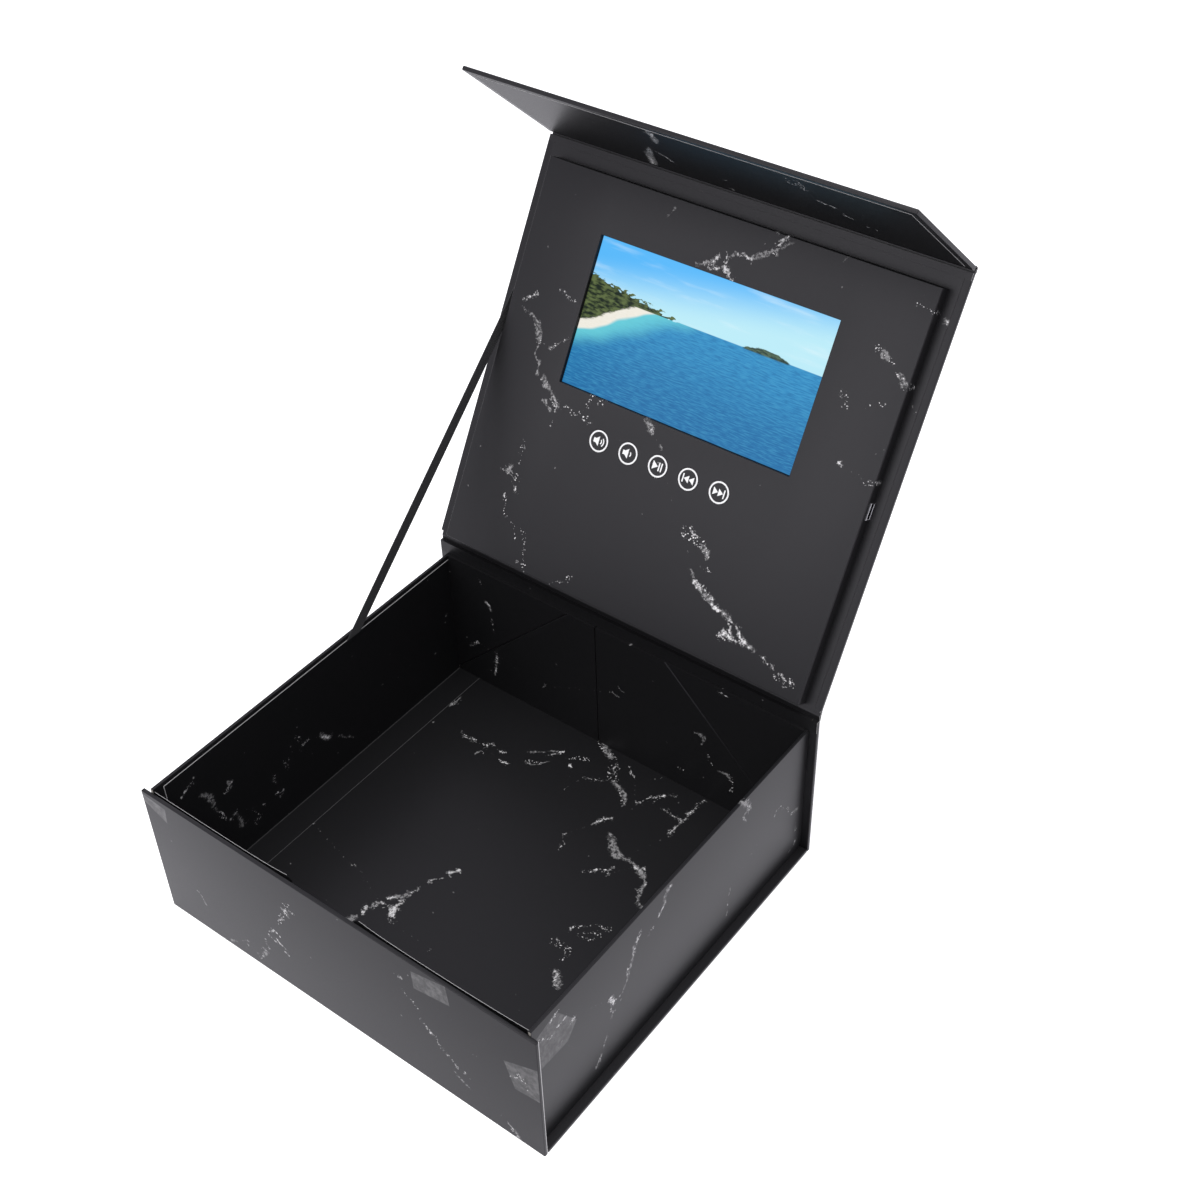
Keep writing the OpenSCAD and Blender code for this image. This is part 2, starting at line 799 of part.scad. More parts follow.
module flap_hinge_strip() {
    bent = [cos(flap_bend), sin(flap_bend)];
    path = [[-fold_half, 0], [0, 0], fold_half * bent];
    color([0.13, 0.13, 0.14])
        in_flap_fold() along_x(-case_w / 2, case_w / 2) folded_sheet(path, paper_t);
}

module flap_hinge_lining() {
    bent = [cos(flap_bend), sin(flap_bend)];
    inward = [-sin(flap_bend), cos(flap_bend)];
    flap_at = function(s, n) s * bent + n * inward;
    groove = paper_t + glue;
    end = fold_half - glue;
    level = case_t + glue;
    corner = groove * tan(flap_bend / 2);
    path = [
        [-fold_half - lining_inset + glue, level],
        [-end, level],
        [-end, groove],
        [-corner, groove],
        flap_at(end, groove),
        flap_at(end, level),
        flap_at(fold_half + lining_inset - glue, level)
    ];
    color([0.1, 0.1, 0.11]) in_flap_fold()
        along_x(-case_w / 2 + lining_inset, case_w / 2 - lining_inset)
            folded_sheet(path, paper_t - 2 * glue);
}

// Ribbon stay: flat in the plane of the left wall, from the wall's lining to the lid's ledge
module ribbon_stay() {
    ribbon_t = 0.4;
    x = -wall_in_x + 1;
    lean = [sin(lid_lean), cos(lid_lean)];
    inward = [-cos(lid_lean), sin(lid_lean)];
    low = [ribbon_y, wall_top - wall_lining_drop];
    high = [hinge_y, hinge_z] + ribbon_s * lean + (lined_t + shut_gap) * inward;
    pull = (high - low) / norm(high - low);
    across = [-pull[1], pull[0]] * ribbon_w / 2;
    // The upper end is cut along the lid, the lower end level with the wall
    lid_cut = lean * ribbon_w / 2 / (lean * [-pull[1], pull[0]]);
    wall_cut = [ribbon_w / 2 / pull[1], 0];
    color([0.06, 0.06, 0.07]) along_x(x - ribbon_t / 2, x + ribbon_t / 2)
        polygon([low + wall_cut, high - lid_cut, high + lid_cut, low - wall_cut]);
}

base_board();
base_wrap();
front_board();
front_wrap();
front_lining();
spine_board();
spine_wrap();
left_wall_board();
left_wall_wrap();
left_wall_lining();
right_wall_board();
right_wall_wrap();
right_wall_lining();
left_front_flap();
right_front_flap();
left_back_flap();
right_back_flap();
flap_tapes();
floor_lining();
front_magnet_plates();
switch_magnet();
lid_board();
lid_wrap();
lid_lining();
lid_hinge_strip();
lid_hinge_lining();
spacer_strips();
facing_board();
facing_wrap();
screen_pad();
screen_backlight();
screen_glass();
screen_flex();
main_board();
board_chips();
charging_socket();
reed_switch();
button_board();
tactile_switches();
button_flex();
battery();
battery_leads();
speaker();
speaker_leads();
volume_up_button();
volume_down_button();
play_pause_button();
previous_button();
next_button();
flap_board();
flap_wrap();
flap_lining();
flap_magnets();
flap_hinge_strip();
flap_hinge_lining();
ribbon_stay();
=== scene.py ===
import math
import random

import bmesh
import bpy
from mathutils import Matrix, Vector


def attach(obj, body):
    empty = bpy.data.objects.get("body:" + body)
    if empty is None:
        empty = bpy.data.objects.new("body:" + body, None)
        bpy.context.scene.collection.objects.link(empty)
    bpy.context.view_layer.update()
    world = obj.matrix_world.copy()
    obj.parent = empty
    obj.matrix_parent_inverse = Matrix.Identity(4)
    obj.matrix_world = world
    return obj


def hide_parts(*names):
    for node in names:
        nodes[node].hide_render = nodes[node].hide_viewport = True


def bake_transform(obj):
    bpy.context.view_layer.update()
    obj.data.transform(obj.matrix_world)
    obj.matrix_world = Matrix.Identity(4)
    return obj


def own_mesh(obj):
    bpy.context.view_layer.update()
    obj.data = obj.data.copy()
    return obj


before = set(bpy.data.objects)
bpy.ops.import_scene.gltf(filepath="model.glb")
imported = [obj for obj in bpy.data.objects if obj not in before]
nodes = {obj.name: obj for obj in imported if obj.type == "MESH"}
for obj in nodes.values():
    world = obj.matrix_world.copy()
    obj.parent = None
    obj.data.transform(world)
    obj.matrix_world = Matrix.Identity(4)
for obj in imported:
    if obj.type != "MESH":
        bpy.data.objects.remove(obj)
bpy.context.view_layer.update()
mm = 0.001

# The camera stands where the photograph was taken from: in front of the case's right corner,
# half way up to overhead, and turned about its own axis so that the case leans in the picture.
picture_px = 1200
focal_px = 1739.8
camera_place = Vector((0.45369, -0.46701, 0.77604))
to_right = Vector((0.796588, 0.604033, -0.024318))
to_bottom = Vector((0.383883, -0.536513, -0.751524))
to_object = Vector((-0.466992, 0.58932, -0.659258))


def set_at(place, across, up, outward):
    """The matrix that takes a piece to a place and turns its X, Y and Z to three directions"""
    return Matrix.Translation(place) @ Matrix((across, up, outward)).transposed().to_4x4()


camera_data = bpy.data.cameras.new("camera")
camera_data.sensor_width = 36
camera_data.lens = focal_px / picture_px * camera_data.sensor_width
camera_data.clip_start = 0.05
camera_data.clip_end = 50
camera = bpy.data.objects.new("camera", camera_data)
bpy.context.scene.collection.objects.link(camera)
camera.matrix_world = set_at(camera_place, to_right, -to_bottom, -to_object)
bpy.context.scene.camera = camera
bpy.context.scene.view_settings.view_transform = "Standard"

# The studio: a white sweep under and behind the case, one broad soft lamp overhead and a
# weaker one from the front left. The sweep reads white to the camera and keeps its shadow.
def add_node(tree, kind, inputs=None, **settings):
    """One shader node: a socket or an amount among its inputs is linked, a constant is set"""
    node = tree.nodes.new("ShaderNode" + kind)
    for key, value in settings.items():
        setattr(node, key, value)
    for key, value in (inputs or {}).items():
        value = getattr(value, "socket", value)
        if isinstance(value, bpy.types.NodeSocket):
            tree.links.new(value, node.inputs[key])
        else:
            node.inputs[key].default_value = value
    return node


def math_of(kind, first, second=0.0, third=0.0):
    tree = (first if isinstance(first, Amount) else second).tree
    return Amount(add_node(tree, "Math", {0: first, 1: second, 2: third}, operation=kind).outputs[0])


class Amount:
    """A number that varies over a surface; sums of amounts become nodes of its material"""
    def __init__(self, socket):
        self.socket = socket
        self.tree = socket.id_data

    def __add__(self, other):
        return math_of("ADD", self, other)

    def __sub__(self, other):
        return math_of("SUBTRACT", self, other)

    def __rsub__(self, other):
        return math_of("SUBTRACT", other, self)

    def __mul__(self, other):
        return math_of("MULTIPLY", self, other)

    def __abs__(self):
        return math_of("ABSOLUTE", self)

    def scaled(self, times, plus):
        return math_of("MULTIPLY_ADD", self, times, plus)

    def at_least(self, other):
        return math_of("MAXIMUM", self, other)

    def step(self, low, high, to_low=0.0, to_high=1.0):
        """Goes smoothly from one number to another while the amount goes from low to high"""
        limits = {"From Min": low, "From Max": high, "To Min": to_low, "To Max": to_high}
        node = add_node(self.tree, "MapRange", {"Value": self, **limits}, interpolation_type="SMOOTHSTEP")
        return Amount(node.outputs["Result"])

    def mixed(self, below, above):
        """The first colour where the amount is 0, the second where it is 1"""
        ends = [c if isinstance(c, bpy.types.NodeSocket) else (*c, 1) for c in (below, above)]
        inputs = {"Factor": self, 6: ends[0], 7: ends[1]}
        return add_node(self.tree, "Mix", inputs, data_type="RGBA").outputs[2]

    def raised(self, strength, depth):
        """The normal of a surface that stands out where the amount is high"""
        inputs = {"Height": self, "Strength": strength, "Distance": depth}
        return add_node(self.tree, "Bump", inputs).outputs["Normal"]


def new_material(name):
    material = bpy.data.materials.new(name)
    material.use_nodes = True
    tree = material.node_tree
    tree.nodes.clear()
    return material, tree


def seen_directly(tree):
    """1 for the camera and for what mirrors or passes the view on, 0 for scattered light"""
    seen = add_node(tree, "LightPath").outputs
    return Amount(seen["Is Camera Ray"]).at_least(seen["Is Glossy Ray"]).at_least(seen["Is Transmission Ray"])


def started(add_primitive, name="part", **settings):
    """A primitive, added with nothing else selected"""
    bpy.ops.object.select_all(action="DESELECT")
    add_primitive(**settings)
    piece = bpy.context.object
    piece.name = name
    return piece


def soft_lamp(name, place, size, watts):
    data = bpy.data.lights.new(name, "AREA")
    data.shape = "SQUARE"
    data.size = size
    data.energy = watts
    lamp = bpy.data.objects.new(name, data)
    bpy.context.scene.collection.objects.link(lamp)
    lamp.location = place
    lamp.rotation_euler = (case_middle - Vector(place)).to_track_quat("-Z", "Y").to_euler()


sweep_glow = 0.79
sweep_depth = 0.2 * mm
sweep_material, tree = new_material("white sweep")
grain = add_node(tree, "TexNoise", {"Scale": 3.0})
tone = add_node(tree, "MapRange", {"Value": grain.outputs["Fac"], "To Min": 0.80, "To Max": 0.82})
matt = add_node(tree, "BsdfDiffuse", {"Color": tone.outputs["Result"]})
mirrored = Amount(add_node(tree, "LightPath").outputs["Is Glossy Ray"])
glow = add_node(tree, "Emission", {"Color": mirrored.mixed((1, 1, 1), (0.89, 0.875, 0.955)),
                "Strength": seen_directly(tree) * sweep_glow})
both = add_node(tree, "AddShader", {0: matt.outputs[0], 1: glow.outputs[0]})
add_node(tree, "OutputMaterial", {"Surface": both.outputs[0]})
sweep = started(bpy.ops.mesh.primitive_plane_add, "sweep", size=8, location=(0, 0, -sweep_depth))
sweep.data.materials.append(sweep_material)

world = bpy.data.worlds.new("studio")
bpy.context.scene.world = world
world.use_nodes = True
tree = world.node_tree
tree.nodes.clear()
strength = add_node(tree, "MapRange", {"Value": seen_directly(tree), "To Min": 0.48, "To Max": 1.1})
air = add_node(tree, "Background", {"Color": (0.93, 0.915, 1, 1), "Strength": strength.outputs["Result"]})
add_node(tree, "OutputWorld", {"Surface": air.outputs[0]})
case_middle = Vector((0, 0, 0.1))
soft_lamp("overhead lamp", (0.3, -0.3, 1.9), 1.6, 26)
soft_lamp("front lamp", (-0.6, -1.7, 1.1), 1.2, 13)

# The covering paper: black coated paper, printed with broken white marble veins and sealed
# with a satin film. The veins lie on each face as smooth lines: solid white ones, grey smoke
# and bands of crumbs; some grey patches have straight sides. Cut paper shows its pale core,
# and a pale line along one corner is a painted highlight.
def own_place(tree):
    return add_node(tree, "TexCoord").outputs["Object"]


def vector_of(kind, first, second):
    place = 1 if kind in ("ADD", "SUBTRACT") else "Scale"
    return add_node(first.id_data, "VectorMath", {0: first, place: second}, operation=kind).outputs[0]


def reach_along(place, direction):
    node = add_node(place.id_data, "VectorMath", {0: place, 1: direction}, operation="DOT_PRODUCT")
    return Amount(node.outputs["Value"])


def noise_of(place, scale, detail, rough=0.5):
    inputs = {"Vector": place, "Scale": scale, "Detail": detail, "Roughness": rough}
    return Amount(add_node(place.id_data, "TexNoise", inputs).outputs["Fac"])


def scattered_cells(place, scale):
    """How far the nearest of many scattered points is, and a number that is its own"""
    cells = add_node(place.id_data, "TexVoronoi", {"Vector": place, "Scale": scale}).outputs
    own = add_node(place.id_data, "SeparateColor", {0: cells["Color"]}).outputs[0]
    return Amount(cells["Distance"]), Amount(own)


def coat(tree, inputs):
    shader = add_node(tree, "BsdfPrincipled", inputs)
    add_node(tree, "OutputMaterial", {"Surface": shader.outputs[0]})


gap = None
gap_half = -1.2
gap_start = 1.6
short_gap = 5
beyond_half = -6
# The pixel of the photograph that the camera looks straight at
middle_x = 602.297
middle_y = 597.467
# Strokes that follow each other share a line; all of this is in mm but the line's width, a share
least_gap = 2.2
least_step = 0.05
longest_line = 170
widest_line = 0.45
chain_reach = {"solid": 60, "smoke": 60, "dust": 70}


def joined(strokes):
    """A vein's strokes as one line, which is thinner than nothing in the gaps between them"""
    line = []
    for before, point, after in zip([gap] + strokes, strokes, strokes[1:] + [gap]):
        if point is not gap:
            line.append(point)
            continue
        step = Vector(after[:2]) - Vector(before[:2])
        near = min(0.35, gap_start / step.length)
        for share in (0.5,) if step.length < short_gap else (near, 1 - near):
            line.append((before[0] + share * step.x, before[1] + share * step.y, gap_half))
    return line


def runs_on(line):
    """Whether a line always runs ahead, is no longer than a curve can hold and stays near its run"""
    x, y = line[0][:2]
    length = math.dist(line[0][:2], line[-1][:2])
    if not 0 < length <= longest_line:
        return False
    run_x, run_y = (line[-1][0] - x) / length, (line[-1][1] - y) / length
    ahead = [(p[0] - x) * run_x + (p[1] - y) * run_y for p in line]
    aside = max(abs((p[1] - y) * run_x - (p[0] - x) * run_y) for p in line)
    return aside <= widest_line * length and min(b - a for a, b in zip(ahead, ahead[1:])) >= least_step


def chained(strokes, reach):
    """The strokes, with those that can follow each other made one line, nearest ends first"""
    lines = list(strokes)
    while True:
        nearest, link = reach, None
        for i, one in enumerate(lines):
            for j, other in enumerate(lines):
                if i == j:
                    continue
                for start, end in ((a, b) for a in (one, one[::-1]) for b in (other, other[::-1])):
                    width = math.dist(start[-1][:2], end[0][:2])
                    if width >= nearest:
                        continue
                    line = start + ([] if width < least_gap else [gap]) + end
                    if runs_on(joined(line)):
                        nearest, link = width, (i, j, line)
        if link is None:
            return lines
        i, j, line = link
        lines = [old for n, old in enumerate(lines) if n not in (i, j)] + [line]


def seen_on(face, height, x, y):
    """Where a pixel of the photograph lies on a face of some height, in mm across and up it"""
    foot, across, up = (Vector(v) for v in face)
    outward = across.cross(up)
    eye = camera_place / mm - foot
    ray = to_object * focal_px + to_right * (x - middle_x) + to_bottom * (y - middle_y)
    spot = eye + ray * ((height - eye.dot(outward)) / ray.dot(outward))
    return spot.dot(across), spot.dot(up)


def seen_veins(face, height, drawn):
    """A face's veins in mm to the half, from strokes of (pixel x, pixel y, half width in mm)"""
    veins = {}
    for kind, strokes in drawn.items():
        placed = [[seen_on(face, height, x, y) + (half,) for x, y, half in stroke] for stroke in strokes]
        veins[kind] = [[gap if point is gap else (round(2 * point[0]) / 2, round(2 * point[1]) / 2, point[2])
                        for point in line] for line in chained(placed, chain_reach[kind])]
    return veins


def inside_vein(place, face, strokes):
    """How deep a place lies in one vein, in mm; a stroke's points are (across, up, half width)"""
    tree = place.id_data
    line = joined(strokes)
    origin, across, up = (Vector(v) for v in face)
    first, last = Vector(line[0][:2]), Vector(line[-1][:2])
    run = (last - first).normalized()
    cap = 0.6 * max(p[2] for p in line)
    length = (last - first).length + 2 * cap
    first -= cap * run
    along = across * run.x + up * run.y
    aside = up * run.x - across * run.y
    away = vector_of("SUBTRACT", place, origin + across * first.x + up * first.y)
    share = reach_along(away, along / length)
    off = reach_along(away, aside)
    both = add_node(tree, "CombineColor", {0: share, 1: share}).outputs["Color"]
    shape = add_node(tree, "RGBCurve", {"Color": both})
    shape.mapping.use_clip = False
    shape.mapping.extend = "HORIZONTAL"
    points = []
    for x, y, half in line:
        step = Vector((x, y)) - first
        points.append((step.dot(run) / length, run.cross(step), half))
    ends = ((0, points[0][1], beyond_half), (1, points[-1][1], beyond_half))
    for column in (1, 2):
        curve = shape.mapping.curves[column - 1]
        for point in points:
            curve.points.new(point[0], point[column])
        curve.points[0].location = (0, ends[0][column])
        curve.points[-1].location = (1, ends[1][column])
        for point in curve.points:
            point.handle_type = "AUTO_CLAMPED"
    shape.mapping.update()
    middle, half = (Amount(socket) for socket in
                    add_node(tree, "SeparateColor", {0: shape.outputs["Color"]}).outputs[:2])
    return half - abs(off - middle)


def inside_any(place, face, veins):
    deepest = inside_vein(place, face, veins[0])
    for strokes in veins[1:]:
        deepest = deepest.at_least(inside_vein(place, face, strokes))
    return deepest


def inside_patch(place, face, corners):
    """How deep a place lies in a straight-sided patch, in mm; its corners run to the left"""
    origin, across, up = (Vector(v) for v in face)
    deepest = 50.0
    for (x0, y0), (x1, y1) in zip(corners, corners[1:] + corners[:1]):
        run = Vector((x1 - x0, y1 - y0)).normalized()
        inward = up * run.x - across * run.y
        side = inward.dot(origin + across * x0 + up * y0)
        deepest = math_of("MINIMUM", deepest, reach_along(place, inward) - side)
    return deepest


def scattered_veins(seed, across, up, count):
    """Loose veins for a face that the photograph doesn't show"""
    draw = random.Random(seed)
    veins = {"solid": [], "smoke": [], "dust": []}
    for _ in range(count):
        x, y = draw.uniform(*across), draw.uniform(*up)
        aim_x, aim_y = draw.uniform(*across) - x, draw.uniform(*up) - y
        heading = math.atan2(aim_y, aim_x)
        body, core = [(x, y, 0.3)], [(x, y, 0.2)]
        for _ in range(draw.randint(6, 10)):
            turn = heading + draw.uniform(-0.7, 0.7)
            step = draw.uniform(6, 12)
            x += step * math.cos(turn)
            y += step * math.sin(turn)
            if not (across[0] < x < across[1] and up[0] < y < up[1]):
                break
            body.append((x, y, draw.choice((gap_half, 0.4, 1.0, 1.8, 2.4))))
            core.append((x, y + draw.uniform(-0.8, 0.8), draw.choice((gap_half, 0.3, 0.6, 1.2, 1.5))))
        if len(body) < 3:
            continue
        veins["smoke"].append(body)
        veins["solid"].append(core)
        side = heading + draw.choice((-1.0, 1.0))
        fork = body[len(body) // 2]
        tip = (fork[0] + 16 * math.cos(side), fork[1] + 16 * math.sin(side), 0.3)
        middle = ((fork[0] + tip[0]) / 2, (fork[1] + tip[1]) / 2, 0.5)
        veins["solid"].append([fork[:2] + (0.8,), middle, tip])
        veins["dust"].append([body[-2][:2] + (1.6,), body[-1][:2] + (2.8,)])
    return {kind: lines for kind, lines in veins.items() if lines}


film_black = (0.0075, 0.0075, 0.0080)
vein_white = (0.80, 0.79, 0.79)
cut_w = 0.05


def marble_paper(name, face=None, veins=None, cut_edges_and_painted_highlights=(), place_map=None, gloss=0.25):
    material, tree = new_material(name)
    if place_map:
        metres = add_node(tree, "Attribute", attribute_name=place_map).outputs["Vector"]
    else:
        metres = own_place(tree)
    place = vector_of("SCALE", metres, 1000.0)
    # The veins wander a little
    wander = place
    for scale, reach in ((0.30, 2.2), (1.2, 1.0)):
        noise = add_node(tree, "TexNoise", {"Vector": place, "Scale": scale, "Detail": 1.0})
        centred = vector_of("SUBTRACT", noise.outputs["Color"], (0.5, 0.5, 0.5))
        wander = vector_of("ADD", wander, vector_of("SCALE", centred, reach))
    fine = noise_of(place, 0.60, 5.0, 0.75)
    crumbly = noise_of(place, 0.55, 4.0, 0.75).step(0.42, 0.57)
    # Pin-prick specks all over the sheet
    away, luck = scattered_cells(wander, 0.11)
    amount = away.step(0.02, 0.075, 1.0, 0.0) * luck.step(0.80, 0.99, 0.0, 0.30)
    lines = veins or {}
    if "smoke" in lines:
        depth = fine.scaled(8.0, -4.3) + inside_any(wander, face, lines["smoke"])
        amount = amount.at_least(depth.step(-0.5, 0.9) * crumbly.scaled(0.34, 0.03))
    chance = 0.0
    if "dust" in lines:
        chance = inside_any(wander, face, lines["dust"]).step(-0.8, 1.0)
    for corners in lines.get("patches", ()):
        near = inside_patch(place, face, corners).step(-0.1, 0.5)
        patchy = noise_of(place, 0.25, 5.0, 0.7).step(0.35, 0.70, 0.055, 0.16)
        amount = amount.at_least(near * patchy)
    if "solid" in lines:
        within = inside_any(wander, face, lines["solid"])
        depth = fine.scaled(9.0, -4.95) + within
        amount = amount.at_least(depth.step(-0.30, 0.45) * crumbly.scaled(0.84, 0.16))
        # Crumbs fill the dusty bands and thin out beside the solid veins
        chance = math_of("MAXIMUM", chance, within.step(-3.4, -0.2, 0.0, 0.62))
        away, luck = scattered_cells(wander, 0.95)
        crumb = luck.scaled(-0.32, away).step(0.0, 0.14, 1.0, 0.0)
        amount = amount.at_least(crumb * (luck + chance).step(1.20, 1.85))
    # Pale lines along listed edges: the paper's cut core, and on the front sheet's right end a painted
    # highlight
    for axis, limit, paleness in cut_edges_and_painted_highlights:
        amount = amount.at_least(reach_along(place, axis).step(limit - cut_w, limit, 0.0, paleness))
    weave = noise_of(place, 2.6, 3.0, 0.6)
    coat(tree, {"Base Color": amount.mixed(film_black, vein_white), "Normal": weave.raised(0.12, 0.04 * mm),
                "Roughness": weave.step(0.3, 0.7, 0.36, 0.44), "Specular IOR Level": gloss,
                "Specular Tint": (0.97, 0.95, 1.0, 1)})
    return material


def dress(material, *names):
    """CAD nodes that are kept get their finish"""
    for name in names:
        nodes[name].data.materials.clear()
        nodes[name].data.materials.append(material)


# The base: grey board under a sheet of the marbled paper that is turned over both sides. The
# same sheet goes on, past a crease at each end, up the front wall and up the spine.
def grey_board(name):
    """Grey board: pressed waste paper, with dark and pale fibres"""
    material, tree = new_material(name)
    fibres = noise_of(own_place(tree), 900.0, 5.0, 0.7)
    shade = add_node(tree, "ValToRGB", {"Fac": fibres})
    stops = shade.color_ramp.elements
    stops[0].position, stops[1].position = 0.3, 0.7
    stops[0].color, stops[1].color = (0.20, 0.18, 0.16, 1), (0.42, 0.40, 0.36, 1)
    coat(tree, {"Base Color": shade.outputs["Color"], "Normal": fibres.raised(0.3, 0.08 * mm),
                "Roughness": 0.9})
    return material


case_w = 270 * mm
case_d = 246 * mm
board_t = 2 * mm
paper_t = 0.2 * mm
cover_t = board_t + 2 * paper_t
turn_in = 15 * mm
edge_round = 0.4 * mm
smooth_under = math.radians(35)
origin = Vector((0, 0, 0))
# A covered and lined board, and the back cards' face, in mm
lined_t = 2.6
back_card_y = 119.5
X, Y, Z = Vector((1, 0, 0)), Vector((0, 1, 0)), Vector((0, 0, 1))
flat_face = (origin, X, Y)
front_face = (origin, X, Z)
side_face = (origin, Y, Z)


def in_edit(piece):
    bpy.context.view_layer.objects.active = piece
    bpy.ops.object.mode_set(mode="EDIT")
    bpy.ops.mesh.select_mode(type="FACE")


def out_of_edit():
    bpy.ops.object.mode_set(mode="OBJECT")


def select_faces(piece, wanted):
    bpy.ops.mesh.select_mode(type="FACE")
    bpy.ops.mesh.select_all(action="DESELECT")
    shape = bmesh.from_edit_mesh(piece.data)
    for face in shape.faces:
        face.select = wanted(face.normal, face.calc_center_median())
    shape.select_flush_mode()
    bmesh.update_edit_mesh(piece.data)


def select_edges(piece, wanted):
    bpy.ops.mesh.select_mode(type="EDGE")
    bpy.ops.mesh.select_all(action="DESELECT")
    shape = bmesh.from_edit_mesh(piece.data)
    for edge in shape.edges:
        edge.select = wanted(edge)
    shape.select_flush_mode()
    bmesh.update_edit_mesh(piece.data)


def round_edges(piece, offset, segments, wanted):
    select_edges(piece, wanted)
    bpy.ops.mesh.bevel(offset=offset, segments=segments, affect="EDGES")


def inner_edge(edge):
    return len(edge.link_faces) == 2


def lies_on_top(normal):
    return normal.z > 0.99


def extrude_by(offset):
    bpy.ops.mesh.extrude_region_move(TRANSFORM_OT_translate={"value": offset})


def apply_modifier(piece, kind, **settings):
    bpy.ops.object.mode_set(mode="OBJECT")
    modifier = piece.modifiers.new(kind.lower(), kind)
    for key, value in settings.items():
        setattr(modifier, key, value)
    bpy.context.view_layer.objects.active = piece
    bpy.ops.object.modifier_apply(modifier=modifier.name)


def pick(piece):
    bpy.ops.object.select_all(action="DESELECT")
    piece.select_set(True)
    bpy.context.view_layer.objects.active = piece


def apply_place(piece):
    pick(piece)
    bpy.ops.object.transform_apply(location=True, rotation=True, scale=True)


def block(place, size, name="part"):
    piece = started(bpy.ops.mesh.primitive_cube_add, name, size=1, location=place, scale=size)
    apply_place(piece)
    return piece


def stand(piece, origin, up, inward):
    """Puts a piece that was made flat into its frame, where Y is up and Z is inward"""
    piece.matrix_world = set_at(origin, up.cross(inward), up, inward) @ piece.matrix_world
    apply_place(piece)


def paper_cover(name, length, far_turned=False):
    """Paper glued round a board that lies on XY: open at Y = 0, turned over at the sides"""
    cover = block((0, length / 2, cover_t / 2), (case_w, length, cover_t), name)
    in_edit(cover)
    select_faces(cover, lambda n, c: n.y < -0.9 or (n.y > 0.9 and not far_turned))
    bpy.ops.mesh.delete(type="FACE")
    round_edges(cover, edge_round, 3, inner_edge)
    side = case_w / 2 - turn_in
    far = length - turn_in if far_turned else length + 1
    cuts = [((side, 0, 0), X), ((-side, 0, 0), X)]
    if far_turned:
        cuts.append(((0, far, 0), Y))
    for point, normal in cuts:
        select_faces(cover, lambda n, c: lies_on_top(n))
        bpy.ops.mesh.bisect(plane_co=point, plane_no=normal)
    select_faces(cover, lambda n, c: lies_on_top(n) and abs(c.x) < side and c.y < far)
    bpy.ops.mesh.delete(type="FACE")
    apply_modifier(cover, "SOLIDIFY", thickness=paper_t, offset=-1, use_even_offset=True)
    return cover


def dress_cover(piece, material, body, node):
    piece.data.materials.clear()
    piece.data.materials.append(material)
    pick(piece)
    bpy.ops.object.shade_smooth_by_angle(angle=smooth_under)
    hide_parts(node)
    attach(piece, body)


crease = 0.6 * mm
front_in_y = -case_d / 2 + cover_t + paper_t
base_y0 = front_in_y + crease
base_y1 = case_d / 2 - cover_t - crease
base_cover = paper_cover("base_cover", base_y1 - base_y0)
stand(base_cover, Vector((0, base_y0, 0)), Y, Z)
in_edit(base_cover)
for toward, reach in ((-1, base_y0 + case_d / 2), (1, case_d / 2 - base_y1)):
    select_faces(base_cover, lambda n, c: n.y * toward > 0.9 and c.z < paper_t and abs(c.x) < case_w / 4)
    extrude_by((0, toward * reach, 0))
out_of_edit()
under = scattered_veins(11, (-118, 118), (-105, 105), 9)
base_paper = marble_paper("marbled paper of the base", flat_face, under)
dress_cover(base_cover, base_paper, "tray", "base_wrap")
board = grey_board("grey board")
dress(board, "base_board")

